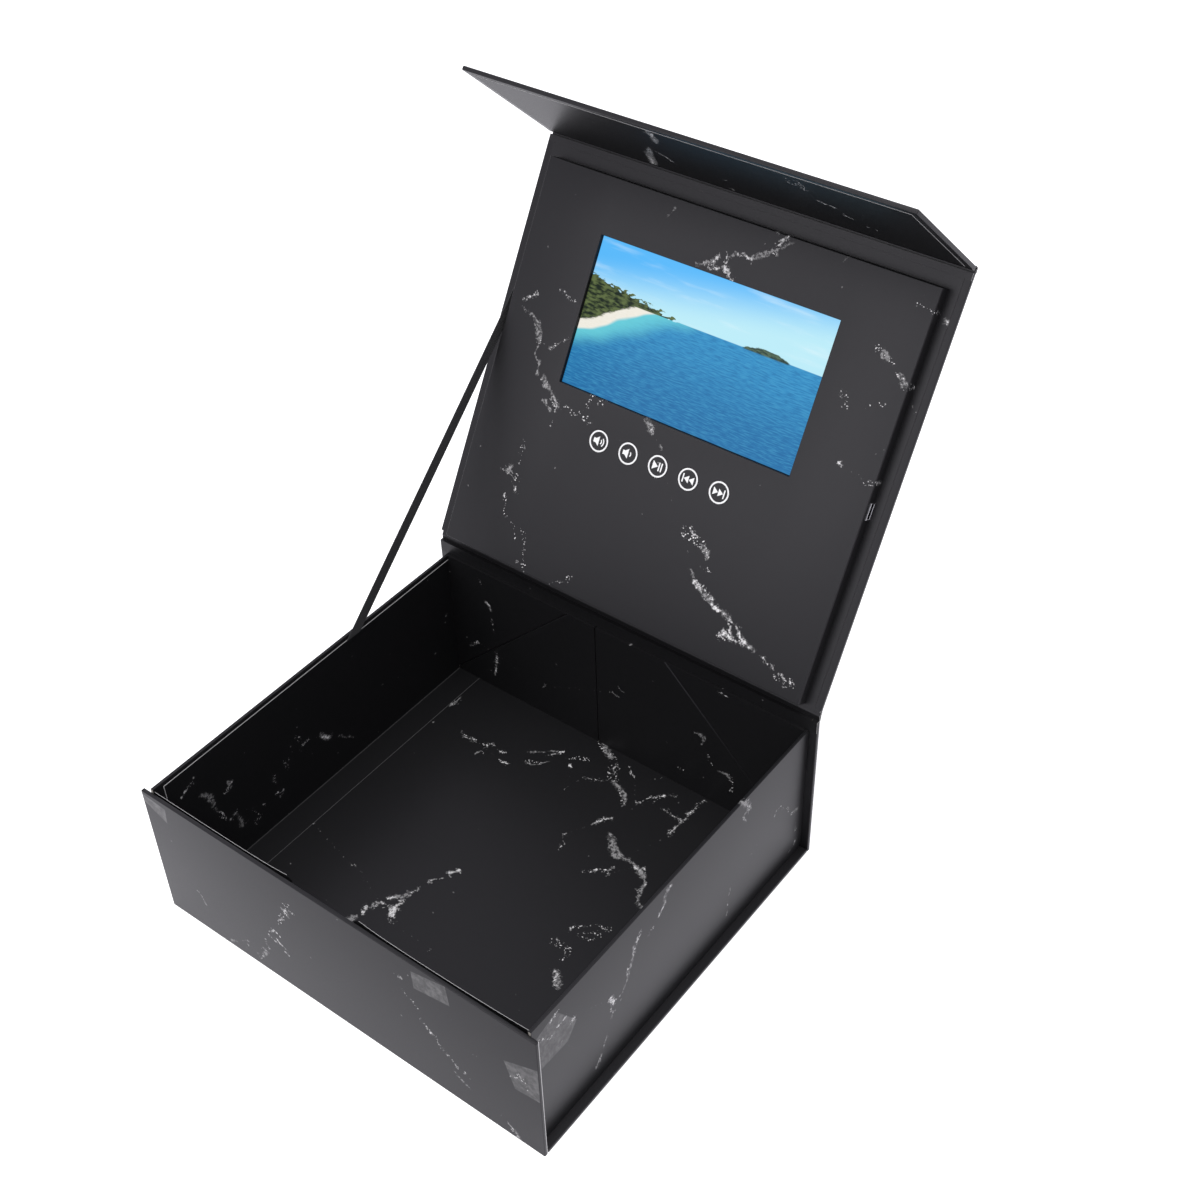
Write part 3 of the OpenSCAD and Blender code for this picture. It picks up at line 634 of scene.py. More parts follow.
# The front wall: a board in the same sheet, turned over at its sides and top. Steel plates for
# the flap's magnets lie in its inner face, under the lining.
front_top = 95 * mm
front_cover = paper_cover("front_cover", front_top - paper_t, far_turned=True)
stand(front_cover, Vector((0, -case_d / 2, paper_t)), Z, Y)
front_veins = seen_veins(front_face, case_d / 2 / mm, {
    "solid": [
        [(285, 900, 0.3), (288, 904, 0.7)], [(286, 907, 0.7), (287, 911, 1), (291, 912, 0.4)],
        [(291, 907, 0.3), (294, 911, 0.8)], [(283, 918, 0.4), (285, 916, 0.5)],
        [(271, 929, 0.5), (275, 928, 0.7), (280, 931, 0.6), (283, 935, 0.5)],
        [(270, 932, 0.2), (275, 936, 0.5)], [(276, 937, 0.4), (279, 939, 0.5)],
        [(280, 937, 0.7), (283, 942, 1.5), (288, 949, 1)], [(289, 950, 0.3), (292, 954, 0.7)],
        [(268, 936, 0.4), (269, 941, 0.6), (272, 946, 0.8)],
        [(261, 951, 0.3), (263, 955, 0.7), (266, 954, 0.5)], [(249, 941, 0.4), (251, 943, 0.5)],
        [(404, 987, 0.2), (407, 991, 0.5)], [(414, 998, 0.3), (416, 1001, 0.6)],
        [(422, 1016, 0.2), (427, 1022, 0.6), (432, 1028, 1.1), (438, 1034, 0.5)],
        [(438, 1034, 0.3), (443, 1044, 0.4), (450, 1052, 0.4), (457, 1061, 0.3), (460, 1065, 0.6)],
        [(466, 1069, 0.4), (468, 1071, 0.9)], [(513, 1123, 0.2), (519, 1132, 0.5), (527, 1142, 0.2)],
        [(521, 1074, 0.4), (523, 1076, 0.7)], [(231, 943, 0.3), (232, 945, 0.5)]
    ],
    "smoke": [
        [(266, 945, 0.6), (269, 949, 1.7), (266, 955, 0.8)],
        [(244, 938, 0.3), (249, 938, 0.7), (252, 940, 0.3)],
        [(233, 936, 0.5), (238, 938, 1.5), (241, 940, 0.5)],
        [(457, 1069, 0.3), (464, 1077, 0.8), (474, 1087, 0.4)], [(400, 974, 0.4), (404, 976, 1.2)],
        [(283, 905, 0.5), (288, 909, 1.6), (292, 916, 0.5)],
        [(199, 888, 0.4), (206, 898, 1.1), (210, 904, 0.3)],
        [(510, 1120, 0.4), (520, 1132, 1.6), (528, 1144, 0.5)]
    ],
    "dust": [
        [(281, 922, 0.8), (286, 912, 2.2), (290, 902, 1.2)],
        [(512, 1073, 1.2), (522, 1075, 3.4), (530, 1086, 2.6)],
        [(511, 1122, 0.8), (520, 1133, 2.2), (529, 1146, 1)], [(414, 998, 0.8), (421, 1006, 1.8)],
        [(228, 940, 1), (236, 948, 1.8), (243, 958, 1.2)]
    ]
})
front_veins["patches"] = [
        [(57, 75.5), (81, 80), (79.5, 94.8), (56.5, 89)],
        [(-134.6, 87), (-118.5, 79), (-117, 91), (-134.8, 93)],
        [(119, 45), (134.8, 47), (134.8, 74), (113, 64)]
]
# A painted highlight runs along the sheet's right end, as a pale line on its corner
slope = math.sqrt(0.5)
front_paper = marble_paper("marbled paper of the front", front_face, front_veins,
                           [((slope, slope, 0), 9.70, 0.8)])
dress_cover(front_cover, front_paper, "tray", "front_wrap")
dress(board, "front_board")


def plated_metal(name, colour, roughness, scratch_scale):
    """Plated or bare metal with fine rolling marks"""
    material, tree = new_material(name)
    rolled = add_node(tree, "Mapping", {"Vector": own_place(tree), "Scale": (1.0, 12.0, 12.0)}).outputs[0]
    marks = noise_of(rolled, scratch_scale, 3.0)
    coat(tree, {"Base Color": marks.mixed([0.8 * c for c in colour], colour), "Metallic": 1.0,
                "Roughness": marks.step(0.3, 0.7, roughness - 0.06, roughness + 0.06)})
    return material


dress(plated_metal("zinc plated steel", (0.62, 0.62, 0.60), 0.34, 300.0), "front_magnet_plates")
front_lined = scattered_veins(12, (-120, 120), (8, 84), 4)
dress(marble_paper("lining of the front", front_face, front_lined, [(Z, 90.7, 0.8)]), "front_lining")

# The spine: the case's back board, in the same sheet, which runs on over its top as the fold
# that the lid hangs on.
hinge = Vector((0, 123 * mm, 108 * mm))
fold_half = 3 * mm
spine_cover = paper_cover("spine_cover", hinge.z - fold_half - paper_t)
stand(spine_cover, Vector((0, case_d / 2, paper_t)), Z, -Y)
spine_veins = scattered_veins(13, (-125, 125), (6, 100), 7)
spine_paper = marble_paper("marbled paper of the spine", front_face, spine_veins)
dress_cover(spine_cover, spine_paper, "tray", "spine_wrap")
dress(board, "spine_board")


# The side walls: thinner boards stuck down on the base by a flange of their own paper, which
# goes under the board, up the outside and over the top edge. A lining covers the inside.
def folded_paper(name, path, x0, x1, round_to=0, thickness=paper_t, side=-1):
    """Paper folded along a path in Y and Z: run after run is extruded, then the folds rounded"""
    paper = started(bpy.ops.mesh.primitive_plane_add, name, size=1, location=(0.5, 0.5, 0))
    apply_place(paper)
    in_edit(paper)
    select_edges(paper, lambda e: all(v.co.y > 0.9 for v in e.verts))
    bpy.ops.mesh.delete(type="VERT")
    bpy.ops.mesh.select_mode(type="EDGE")
    bpy.ops.mesh.select_all(action="SELECT")
    bpy.ops.transform.resize(value=(x1 - x0, 1, 1), center_override=origin)
    bpy.ops.transform.translate(value=(x0, path[0][0], path[0][1]))
    for a, b in zip(path, path[1:]):
        extrude_by((0, b[0] - a[0], b[1] - a[1]))
    if round_to:
        round_edges(paper, round_to, 4, inner_edge)
    apply_modifier(paper, "SOLIDIFY", thickness=thickness, offset=side, use_even_offset=True)
    return paper


wall_x = 130 * mm
wall_top = 97 * mm
wall_t = 1.9 * mm
wall_in_x = wall_x - wall_t
wall_y0 = front_in_y + 0.15 * mm
wall_y1 = 120.4 * mm
flange_w = 19 * mm
strip_z0 = cover_t + paper_t
strip_z1 = wall_top - turn_in
wall_run = [
    (wall_x - flange_w, cover_t), (wall_x, cover_t), (wall_x, wall_top), (wall_in_x, wall_top),
    (wall_in_x, strip_z1)
]
right_outside = seen_veins(side_face, wall_x / mm, {
    "solid": [
        [(673, 882, 0.2), (671, 888, 0.7)], [(668, 897, 0.4), (665, 905, 0.8), (661, 915, 0.4)],
        [(644, 926, 0.2), (641, 935, 0.8), (638, 944, 0.9), (635, 953, 0.6), (633, 961, 0.7)],
        [(631, 965, 0.4), (630, 971, 0.9), (629, 978, 0.6), (627, 984, 0.5)],
        [(627, 985, 0.3), (622, 993, 0.6), (617, 998, 0.9)],
        [(611, 997, 0.7), (614, 998, 1.9), (616, 1002, 1)],
        [(625, 995, 0.2), (620, 1003, 0.4), (616, 1009, 0.2)],
        [(615, 1001, 0.8), (615, 1009, 0.6), (614, 1015, 0.2)],
        [(610, 1031, 0.2), (607, 1040, 0.5), (606, 1045, 0.2)],
        [(604, 1051, 0.3), (602, 1057, 0.8), (598, 1067, 0.8)], [(601, 1063, 0.4), (601, 1066, 0.4)],
        [(733, 884, 0.3), (732, 888, 0.8), (731, 893, 0.2)],
        [(730, 900, 0.2), (729, 905, 0.4), (727, 915, 0.3)], [(794, 812, 0.6), (799, 807, 0.6)],
        [(792, 812, 0.4), (796, 808, 0.5)], [(777, 814, 0.3), (779, 809, 0.5), (783, 805, 0.4)],
        [(797, 838, 0.5), (794, 845, 0.6), (791, 850, 0.5)],
        [(561, 1009, 0.3), (557, 1015, 0.6), (552, 1021, 0.3)],
        [(569, 1013, 0.4), (564, 1019, 0.7), (559, 1026, 0.3)], [(577, 1014, 0.6), (573, 1020, 0.9)],
        [(557, 1029, 0.2), (552, 1036, 0.5)], [(565, 1038, 0.2), (560, 1046, 0.4)]
    ],
    "smoke": [
        [(675, 880, 0.4), (669, 890, 2), (667, 900, 1.6), (661, 914, 0.5)],
        [(744, 800, 0.8), (749, 801, 2), (753, 808, 0.8)],
        [(752, 806, 0.5), (747, 812, 1.4), (748, 820, 0.6)], [(793, 812, 0.6), (800, 806, 1.5)],
        [(642, 930, 0.3), (636, 950, 1.3), (631, 970, 1.2), (626, 986, 0.5)]
    ],
    "dust": [
        [(657, 922, 0.8), (650, 933, 1.6)], [(746, 798, 1.2), (752, 808, 2.4), (747, 818, 1.4)],
        [(784, 806, 1), (792, 807, 1.6)], [(800, 818, 1), (798, 828, 1.6)],
        [(611, 996, 1.6), (616, 1002, 2.2)]
    ]
})
# Short scratches on the wall's grey patch, in mm
right_outside["solid"] += [
        [(-106.8, 89.4, 0.6), (-104, 90.5, 1.1), (-101.1, 91.2, 0.7)],
        [(-91.8, 73.2, 0.9), (-89, 72.5, 1.5)],
        [(-102.3, 80.3, 0.6), (-98.5, 80.9, 1.2), (-94.7, 81.4, 0.8)],
        [(-115.4, 85.7, 0.3), (-107.6, 78.1, 0.6), (-103.9, 77.7, 0.6)]
]
right_outside["patches"] = [
        [(-118.5, 61.5), (-94.5, 60.5), (-87, 70), (-101.8, 93), (-118, 88)]
]
left_inside = seen_veins(side_face, -wall_in_x / mm, {
    "solid": [
        [(183, 796, 0.4), (186, 791, 0.8), (190, 784, 0.4), (196, 775, 0.2)],
        [(226, 792, 0.4), (232, 783, 0.9), (235, 777, 0.6)], [(216, 796, 0.7), (217, 800, 0.4)],
        [(222, 810, 0.5), (226, 815, 1.1)], [(232, 817, 1), (236, 813, 0.6), (239, 809, 0.8)],
        [(277, 792, 0.2), (282, 790, 0.6), (287, 787, 0.3)],
        [(324, 734, 1.2), (328, 735, 1.4), (332, 733, 1.5)], [(265, 803, 0.7), (268, 801, 0.4)],
        [(305, 741, 0.3), (308, 740, 0.7), (312, 736, 0.2)], [(301, 735, 0.7), (303, 736, 0.5)],
        [(291, 757, 0.5), (290, 761, 0.4)], [(448, 613, 0.8), (450, 611, 0.9)],
        [(212, 751, 0.4), (213, 751, 0.3)]
    ],
    "smoke": [
        [(201, 793, 0.6), (208, 792, 2), (214, 797, 2.2), (217, 803, 0.8)],
        [(216, 803, 0.6), (221, 809, 0.5)], [(240, 811, 1), (245, 823, 1.2)],
        [(245, 823, 0.6), (250, 818, 0.8)], [(322, 731, 1), (328, 735, 2.3), (334, 733, 1.2)],
        [(340, 733, 0.4), (355, 735, 0.6)], [(229, 778, 0.4), (233, 784, 1.2), (229, 790, 0.4)]
    ],
    "dust": [
        [(256, 807, 1.2), (262, 813, 2.8), (258, 822, 1.8)], [(277, 772, 1.2), (279, 781, 2)],
        [(287, 756, 1.2), (289, 767, 2.2)], [(299, 733, 1.6), (306, 741, 2.6), (303, 748, 1.2)],
        [(222, 810, 1), (228, 818, 1.6)], [(275, 796, 0.8), (285, 789, 1.4)]
    ]
})
walls = {
    "right": (1, (-wall_y1, -wall_y0), right_outside, scattered_veins(15, (-108, 108), (8, 86), 6)),
    "left": (-1, (wall_y0, wall_y1), scattered_veins(14, (-112, 112), (6, 88), 7), left_inside)
}
for side, (outward, (end_0, end_1), outside, inside) in walls.items():
    wall_cover = folded_paper(side + "_wall_cover", wall_run, end_0, end_1, round_to=edge_round)
    wall_cover.rotation_euler.z = math.radians(-90 * outward)
    apply_place(wall_cover)
    # The sheet's end is turned over the board's front end
    block((outward * (wall_in_x + paper_t / 2), wall_y0 + turn_in / 2, (strip_z0 + strip_z1) / 2),
          (paper_t, turn_in, strip_z1 - strip_z0))
    wall_cover.select_set(True)
    bpy.context.view_layer.objects.active = wall_cover
    bpy.ops.object.join()
    wall_paper = marble_paper("marbled paper of the " + side + " wall", side_face, outside)
    dress_cover(wall_cover, wall_paper, "tray", side + "_wall_wrap")
    dress(board, side + "_wall_board")
    # The lining is pale at its cut top and front, and a little along the floor and in its crease
    pale_at = [(Z, 93.7, 0.8), (-Y, 113.25, 0.8), (-outward * X, -111.25, 0.10),
               ((outward * slope, 0, -slope), 88.2, 0.06)]
    lining = marble_paper("lining of the " + side + " wall", side_face, inside, pale_at)
    dress(lining, side + "_wall_lining")

# The corners: papered card folded in from the side walls. The front pair is taped to the front
# wall; the back pair meets in a seam and carries the sloping creases.
back_veins = seen_veins(front_face, -back_card_y, {
    "solid": [
        [(500, 649, 0.3), (500, 658, 0.7), (500, 665, 0.8), (499, 672, 0.5)],
        [(490, 599, 0.6), (493, 603, 1)], [(495, 616, 0.3), (496, 621, 0.5)],
        [(497, 626, 0.2), (497, 629, 0.4)], [(474, 642, 0.4), (478, 640, 0.4), (482, 639, 0.7)],
        [(632, 629, 0.5), (636, 634, 1.1)], [(615, 689, 0.2), (619, 692, 0.7), (622, 694, 0.3)],
        [(622, 685, 0.2), (627, 689, 0.5)], [(722, 688, 0.2), (727, 691, 0.6), (731, 694, 0.2)],
        [(547, 684, 0.3), (549, 682, 0.4)], [(732, 775, 0.6), (736, 779, 0.7)],
        [(734, 786, 0.6), (736, 789, 0.6)]
    ],
    "smoke": [
        [(488, 597, 0.5), (492, 602, 1.4), (495, 608, 0.5)],
        [(699, 729, 0.7), (705, 732, 1.9), (706, 742, 0.7)], [(631, 628, 0.6), (636, 633, 1.5)],
        [(630, 638, 0.5), (633, 641, 1.3)], [(722, 767, 0.6), (728, 770, 1.6), (734, 777, 1.4)]
    ],
    "dust": [
        [(481, 574, 1.2), (485, 580, 2.4)], [(474, 640, 1), (480, 641, 1.8)],
        [(710, 750, 0.8), (716, 762, 1.6)], [(724, 768, 1.2), (734, 776, 2.2), (735, 789, 1.8)],
        [(681, 764, 1), (687, 766, 1.8)]
    ]
})
back_card = marble_paper("papered card of the back corners", front_face, back_veins)
front_card = marble_paper("papered card of the front corners", front_face,
                          scattered_veins(16, (-122, 122), (8, 84), 5))
dress(back_card, "left_back_flap", "right_back_flap")
dress(front_card, "left_front_flap", "right_front_flap")
# Each front card is faced with a sheet of the paper that stands higher than the card. There it
# leans back to the wall and springs away again at its free end; its cut edge is pale.
facing_top = 95.2 * mm
facing_foot = 5 * mm
card_top = 91.9 * mm
facing_y = front_in_y + 1.35 * mm
facing_corner = 3 * mm
card_share = 0.75
spring_back = 1.5 * mm
lean_back = 0.75 * mm
facing_paper = marble_paper("facing of the front corners", front_face,
                            scattered_veins(19, (-122, 122), (8, 86), 5), [(Z, 95.12, 0.5)])
facings = (("left", -127.6 * mm, -27 * mm, 0.2 * mm), ("right", 127.6 * mm, 16 * mm, 1.2 * mm))
for side, root_x, end_x, root_gap in facings:
    facing = started(bpy.ops.mesh.primitive_grid_add, side + "_front_facing", x_subdivisions=60,
                     y_subdivisions=16, size=1)
    reach = abs(end_x - root_x)
    for vertex in facing.data.vertices:
        along, high = vertex.co.x + 0.5, vertex.co.y + 0.5
        ceiling = facing_top - max(0.0, along * reach - reach + facing_corner)
        free = max(0.0, (high - card_share) / (1 - card_share))
        on_card = min(1.0, high / card_share)
        lean = root_gap * (1 - along) ** 4 + spring_back * along ** 8 - lean_back
        height = facing_foot + (card_top - facing_foot) * on_card + (ceiling - card_top) * free
        vertex.co = (root_x + (end_x - root_x) * along, facing_y + lean * free, height)
    apply_modifier(facing, "SOLIDIFY", thickness=paper_t, offset=0)
    facing.data.materials.append(facing_paper)
    bpy.ops.object.shade_smooth_by_angle(angle=smooth_under)
    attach(facing, "tray")


def plain_finish(name, colour, roughness, grain, variation=0.15, bump_depth=0.02 * mm, metallic=0.0):
    """A moulded, cast or coated finish with its own grain"""
    material, tree = new_material(name)
    fine = noise_of(own_place(tree), grain, 4.0)
    dark = [c * (1 - variation) for c in colour]
    pale = [min(1, c * (1 + variation)) for c in colour]
    coat(tree, {"Base Color": fine.mixed(dark, pale), "Normal": fine.raised(0.3, bump_depth),
                "Roughness": fine.step(0.3, 0.7, roughness - 0.05, roughness + 0.05), "Metallic": metallic})
    return material


dress(plain_finish("tape adhesive", (0.55, 0.56, 0.54), 0.3, 600.0), "flap_tapes")

# The floor: one lining sheet of the same paper, glued over the base board and the walls'
# flanges. A small plated magnet for the player's switch is set into the right wall's board.
floor_veins = seen_veins(flat_face, lined_t, {
    "solid": [
        [(336, 920, 0.4), (341, 922, 0.8)], [(363, 911, 0.8), (367, 908, 1.7), (370, 904, 0.9)],
        [(373, 905, 0.6), (378, 903, 1)], [(383, 899, 0.4), (386, 901, 1.1)],
        [(386, 905, 0.4), (391, 904, 0.8)], [(390, 896, 0.3), (398, 895, 1.2), (404, 898, 0.7)],
        [(421, 886, 0.2), (413, 891, 0.6), (408, 897, 0.6), (404, 901, 1.1), (397, 906, 2),
         (394, 913, 2.4)], [(393, 916, 0.5), (393, 920, 1)],
        [(431, 881, 0.3), (434, 878, 0.7), (445, 875, 0.4)],
        [(451, 872, 0.7), (456, 869, 1.4), (461, 867, 0.9)], [(453, 874, 0.6), (454, 875, 0.4)],
        [(354, 863, 0.5), (357, 862, 0.3)], [(616, 766, 0.6), (619, 763, 1.2), (622, 766, 0.9)],
        [(620, 767, 0.5), (616, 771, 0.7), (611, 776, 0.8)],
        [(629, 763, 0.2), (633, 770, 0.6), (637, 777, 0.2)],
        [(586, 775, 0.2), (595, 777, 0.5), (605, 778, 0.4)], [(572, 762, 0.7), (575, 765, 1.3)],
        [(567, 787, 0.8), (572, 783, 0.3)], [(553, 752, 0.3), (560, 751, 0.7), (567, 750, 0.4)],
        [(637, 800, 0.2), (647, 798, 0.4), (657, 795, 0.2)],
        [(656, 796, 0.3), (665, 794, 0.6), (672, 792, 0.7), (680, 793, 0.5)],
        [(655, 800, 0.2), (660, 797, 0.4)],
        [(669, 834, 0.4), (676, 827, 0.7), (688, 815, 0.7), (699, 804, 0.6), (707, 797, 0.2)],
        [(663, 805, 0.2), (672, 810, 0.5), (685, 818, 0.3)],
        [(593, 822, 0.2), (602, 819, 0.7), (610, 816, 0.8), (615, 815, 0.5)],
        [(584, 870, 0.3), (592, 870, 0.3), (600, 867, 0.8), (607, 867, 0.8), (616, 864, 0.8)],
        [(604, 867, 0.3), (612, 872, 0.4)], [(560, 846, 0.3), (566, 840, 0.4), (569, 831, 0.2)],
        [(617, 853, 0.5), (624, 856, 0.6)],
        [(637, 864, 0.6), (641, 868, 1.2), (646, 866, 0.9), (647, 872, 0.6)],
        [(639, 888, 0.7), (643, 884, 1.3), (649, 882, 0.7)],
        [(573, 927, 0.6), (578, 923, 0.3), (586, 926, 0.2)],
        [(598, 923, 0.3), (606, 926, 0.7), (611, 927, 0.6)], [(560, 937, 0.6), (561, 941, 0.8)],
        [(566, 948, 0.6), (567, 951, 0.5)], [(557, 968, 0.9), (559, 974, 1.5), (558, 978, 1.2)],
        [(557, 982, 1.2), (562, 983, 1.3)], [(412, 963, 0.9), (415, 965, 1.4)],
        [(431, 945, 0.4), (432, 947, 0.6)], [(465, 731, 0.5), (467, 734, 0.7)],
        [(470, 735, 0.5), (478, 737, 0.9)], [(489, 742, 0.3), (497, 743, 0.5)],
        [(484, 749, 0.5), (486, 750, 0.9)], [(502, 748, 0.6), (509, 750, 0.8)],
        [(501, 757, 0.3), (507, 760, 0.5), (512, 761, 0.2)], [(458, 702, 0.6), (456, 701, 0.5)],
        [(692, 767, 0.4), (694, 769, 0.6)], [(701, 776, 0.6), (703, 778, 0.7)],
        [(313, 819, 0.6), (316, 821, 0.8)]
    ],
    "smoke": [
        [(336, 920, 0.6), (345, 920, 1.9), (352, 917, 2.5), (360, 913, 1.4)],
        [(374, 904, 0.8), (380, 901, 1.8), (385, 900, 0.8)],
        [(396, 895, 1), (406, 893, 2), (414, 890, 0.9), (423, 885, 0.3)],
        [(384, 901, 0.6), (390, 904, 1.3), (398, 904, 1)],
        [(611, 829, 0.5), (616, 840, 2.5), (618, 850, 3.1), (625, 856, 1.7), (635, 861, 1.2),
         (642, 868, 2.2), (647, 876, 1)], [(647, 878, 0.8), (644, 886, 2.3), (641, 894, 1.8)],
        [(641, 896, 1), (643, 905, 1.7)], [(604, 740, 1.2), (608, 748, 2.2), (614, 756, 1.2)],
        [(614, 778, 1), (622, 786, 1.7), (627, 794, 1.9), (625, 804, 0.8)],
        [(557, 966, 1), (559, 976, 2.5), (560, 986, 1.2)], [(411, 962, 1), (415, 965, 2)],
        [(478, 750, 0.8), (483, 748, 1.8), (490, 744, 0.6)],
        [(528, 759, 0.6), (545, 760, 1.2), (553, 759, 0.4)],
        [(530, 749, 0.3), (548, 750, 0.7), (562, 750, 0.4)],
        [(452, 702, 0.8), (458, 699, 2.2), (463, 696, 0.6)],
        [(318, 793, 0.6), (314, 802, 2.2), (316, 812, 2.4), (314, 821, 1)],
        [(320, 800, 0.6), (324, 803, 1.4)], [(464, 728, 0.4), (466, 733, 1)]
    ],
    "dust": [
        [(602, 738, 1.2), (607, 750, 2.8), (616, 759, 2.2)],
        [(613, 762, 1.6), (614, 772, 3), (619, 780, 1.6)], [(390, 913, 1.4), (397, 917, 2.2)],
        [(447, 872, 1.2), (464, 868, 2.2)],
        [(553, 935, 1.4), (561, 942, 3), (570, 949, 3.6), (566, 957, 1.4)],
        [(580, 934, 1.4), (592, 934, 3.6), (604, 932, 1.2)],
        [(571, 927, 0.6), (585, 924, 0.8), (600, 923, 1.2), (613, 928, 2.2)],
        [(568, 756, 1), (577, 756, 1.8), (592, 758, 1.6)],
        [(464, 730, 0.8), (478, 737, 1.8), (492, 744, 1.2)], [(528, 758, 1.2), (546, 760, 1.8)],
        [(650, 776, 0.8), (664, 775, 1.2), (678, 771, 1.2)], [(316, 792, 1.4), (324, 790, 1.8)],
        [(452, 698, 1.2), (462, 700, 2.4)], [(623, 790, 1.6), (626, 802, 1.8)]
    ]
})
dress(marble_paper("lining of the floor", flat_face, floor_veins), "floor_lining")
dress(plated_metal("nickel plated magnet", (0.72, 0.72, 0.74), 0.22, 500.0), "switch_magnet")

# The lid: a board with the paper turned over its sides, hung on the paper fold. A narrow
# lining covers the fold inside.
lean = math.radians(30)
lid_up = Vector((0, math.sin(lean), math.cos(lean)))
lid_in = Vector((0, -math.cos(lean), math.sin(lean)))
fold_s = 249 * mm
lid_cover = paper_cover("lid_cover", fold_s - 2 * fold_half)
stand(lid_cover, hinge + fold_half * lid_up, lid_up, lid_in)
lid_face = (hinge / mm, X, lid_up)
lid_back = scattered_veins(17, (-126, 126), (8, 240), 11)
dress_cover(lid_cover, marble_paper("marbled paper of the lid", lid_face, lid_back), "lid", "lid_wrap")
dress(board, "lid_board")
ledge_veins = seen_veins(lid_face, lined_t, {
    "solid": [
        [(949, 318, 0.3), (951, 321, 0.7), (954, 326, 0.4)], [(459, 462, 1), (462, 465, 0.8)],
        [(461, 502, 0.2), (467, 500, 0.4)]
    ],
    "smoke": [
        [(947, 316, 0.4), (951, 322, 1.6), (954, 329, 0.5)], [(458, 460, 0.6), (462, 465, 1.8)],
        [(467, 449, 0.4), (471, 451, 1)]
    ],
    "dust": [
        [(914, 405, 0.6), (919, 412, 1.2)]
    ]
})
dress(marble_paper("lining of the lid", lid_face, ledge_veins), "lid_lining")


def at_hinge(s, n):
    place = hinge + s * lid_up + n * lid_in
    return (place.y, place.z)


def bent(corner, before, after, steps):
    """The corner of a path as a short round bend"""
    points = []
    for k in range(steps + 1):
        t = k / steps
        points.append(tuple((1 - t) ** 2 * b + 2 * t * (1 - t) * c + t * t * a
                            for b, c, a in zip(before, corner, after)))
    return points


fold_paper = marble_paper("marbled paper of the folds", place_map="rest_place")
fold_lining = marble_paper("lining of the folds", place_map="rest_place")
fold_end_paper = marble_paper("turned-in ends of the folds", place_map="rest_place",
                              cut_edges_and_painted_highlights=[(X, 134.65, 0.5), (-X, 134.65, 0.5)])
lining_inset = 4 * mm
lining_t = 0.16 * mm
case_side = case_w / 2
lining_side = case_side - lining_inset
end_x0 = lining_side + 0.05 * mm
end_x1 = case_side - 0.2 * mm


def paper_fold(part, outer_path, lining_path, end_path):
    """The sheet outside a fold, its lining, and beside that the sheet's own turned-in edges"""
    papers = (
        (part + "_fold_paper", outer_path, -case_side, case_side, paper_t, fold_paper),
        (part + "_fold_lining", lining_path, -lining_side, lining_side, lining_t, fold_lining),
        ("left_" + part + "_fold_end", end_path, -end_x1, -end_x0, lining_t, fold_end_paper),
        ("right_" + part + "_fold_end", end_path, end_x0, end_x1, lining_t, fold_end_paper)
    )
    for name, path, x0, x1, thickness, finish in papers:
        fold = folded_paper(name, path, x0, x1, thickness=thickness, side=1)
        # Each point keeps its place at rest in an attribute, from which the fold's pattern is drawn
        places = fold.data.attributes.new("rest_place", "FLOAT_VECTOR", "POINT")
        for vertex in fold.data.vertices:
            places.data[vertex.index].vector = vertex.co
        fold.data.materials.append(finish)
        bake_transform(fold)
    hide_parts(part + "_hinge_strip")
    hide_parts(part + "_hinge_lining")


hair = 0.02 * mm
level = cover_t + hair
groove_n = 0.25 * mm
groove_end = fold_half - hair
lid_fold_path = bent((hinge.y, hinge.z), (hinge.y, hinge.z - fold_half), at_hinge(fold_half, 0), 10)
lid_end_path = [
    (hinge.y - level, hinge.z - fold_half - 8 * mm),
    (hinge.y - level, hinge.z - groove_end),
    (hinge.y - groove_n, hinge.z - fold_half + 0.05 * mm),
    (hinge.y - groove_n, hinge.z - fold_half / 2),
    (hinge.y - groove_n, hinge.z + 0.1 * mm),
    at_hinge(fold_half / 2, groove_n),
    at_hinge(fold_half - 0.05 * mm, groove_n),
    at_hinge(groove_end, level),
    at_hinge(3.78 * mm, level)
]
lid_lining_path = [(hinge.y - level, hinge.z - fold_half - 40 * mm)] + lid_end_path[1:]
paper_fold("lid", lid_fold_path, lid_lining_path, lid_end_path)

# The player panel: foam board strips round a bay, closed by a facing board. Its paper is drawn
# over the face, down all four sides and into the window.
foam = plain_finish("black foam board", (0.03, 0.03, 0.032), 0.85, 1400.0, 0.4, 0.06 * mm)
dress(foam, "spacer_strips")
dress(board, "facing_board")
panel_w = 250 * mm
panel_s0 = 3.8 * mm
panel_s1 = 235 * mm
panel_t = 8 * mm
panel_round = 0.5 * mm
bay_n0 = cover_t + paper_t
face_n = bay_n0 + panel_t
window_w = 155 * mm
window_h = 86 * mm
window_s = 160 * mm
window_round = 0.35 * mm
button_s = 94 * mm
button_pitch = 20.5 * mm
button_d = 13 * mm
hole_d = button_d + 0.3 * mm
socket_s = 115 * mm
socket_n = 4.9 * mm
mouth_size = (2 * mm, 9 * mm, 4 * mm)
mouth_round = 0.8 * mm
panel_cover = block((0, (panel_s0 + panel_s1) / 2, bay_n0 + panel_t / 2),
                    (panel_w, panel_s1 - panel_s0, panel_t), "panel_cover")
in_edit(panel_cover)
select_faces(panel_cover, lambda n, c: n.z < -0.9)
bpy.ops.mesh.delete(type="FACE")
round_edges(panel_cover, panel_round, 4, inner_edge)
window_x = window_w / 2
window_y0 = window_s - window_h / 2
window_y1 = window_s + window_h / 2
for point, normal in (((window_x, 0, 0), X), ((-window_x, 0, 0), X), ((0, window_y0, 0), Y),
                      ((0, window_y1, 0), Y)):
    select_faces(panel_cover, lambda n, c: lies_on_top(n))
    bpy.ops.mesh.bisect(plane_co=point, plane_no=normal)
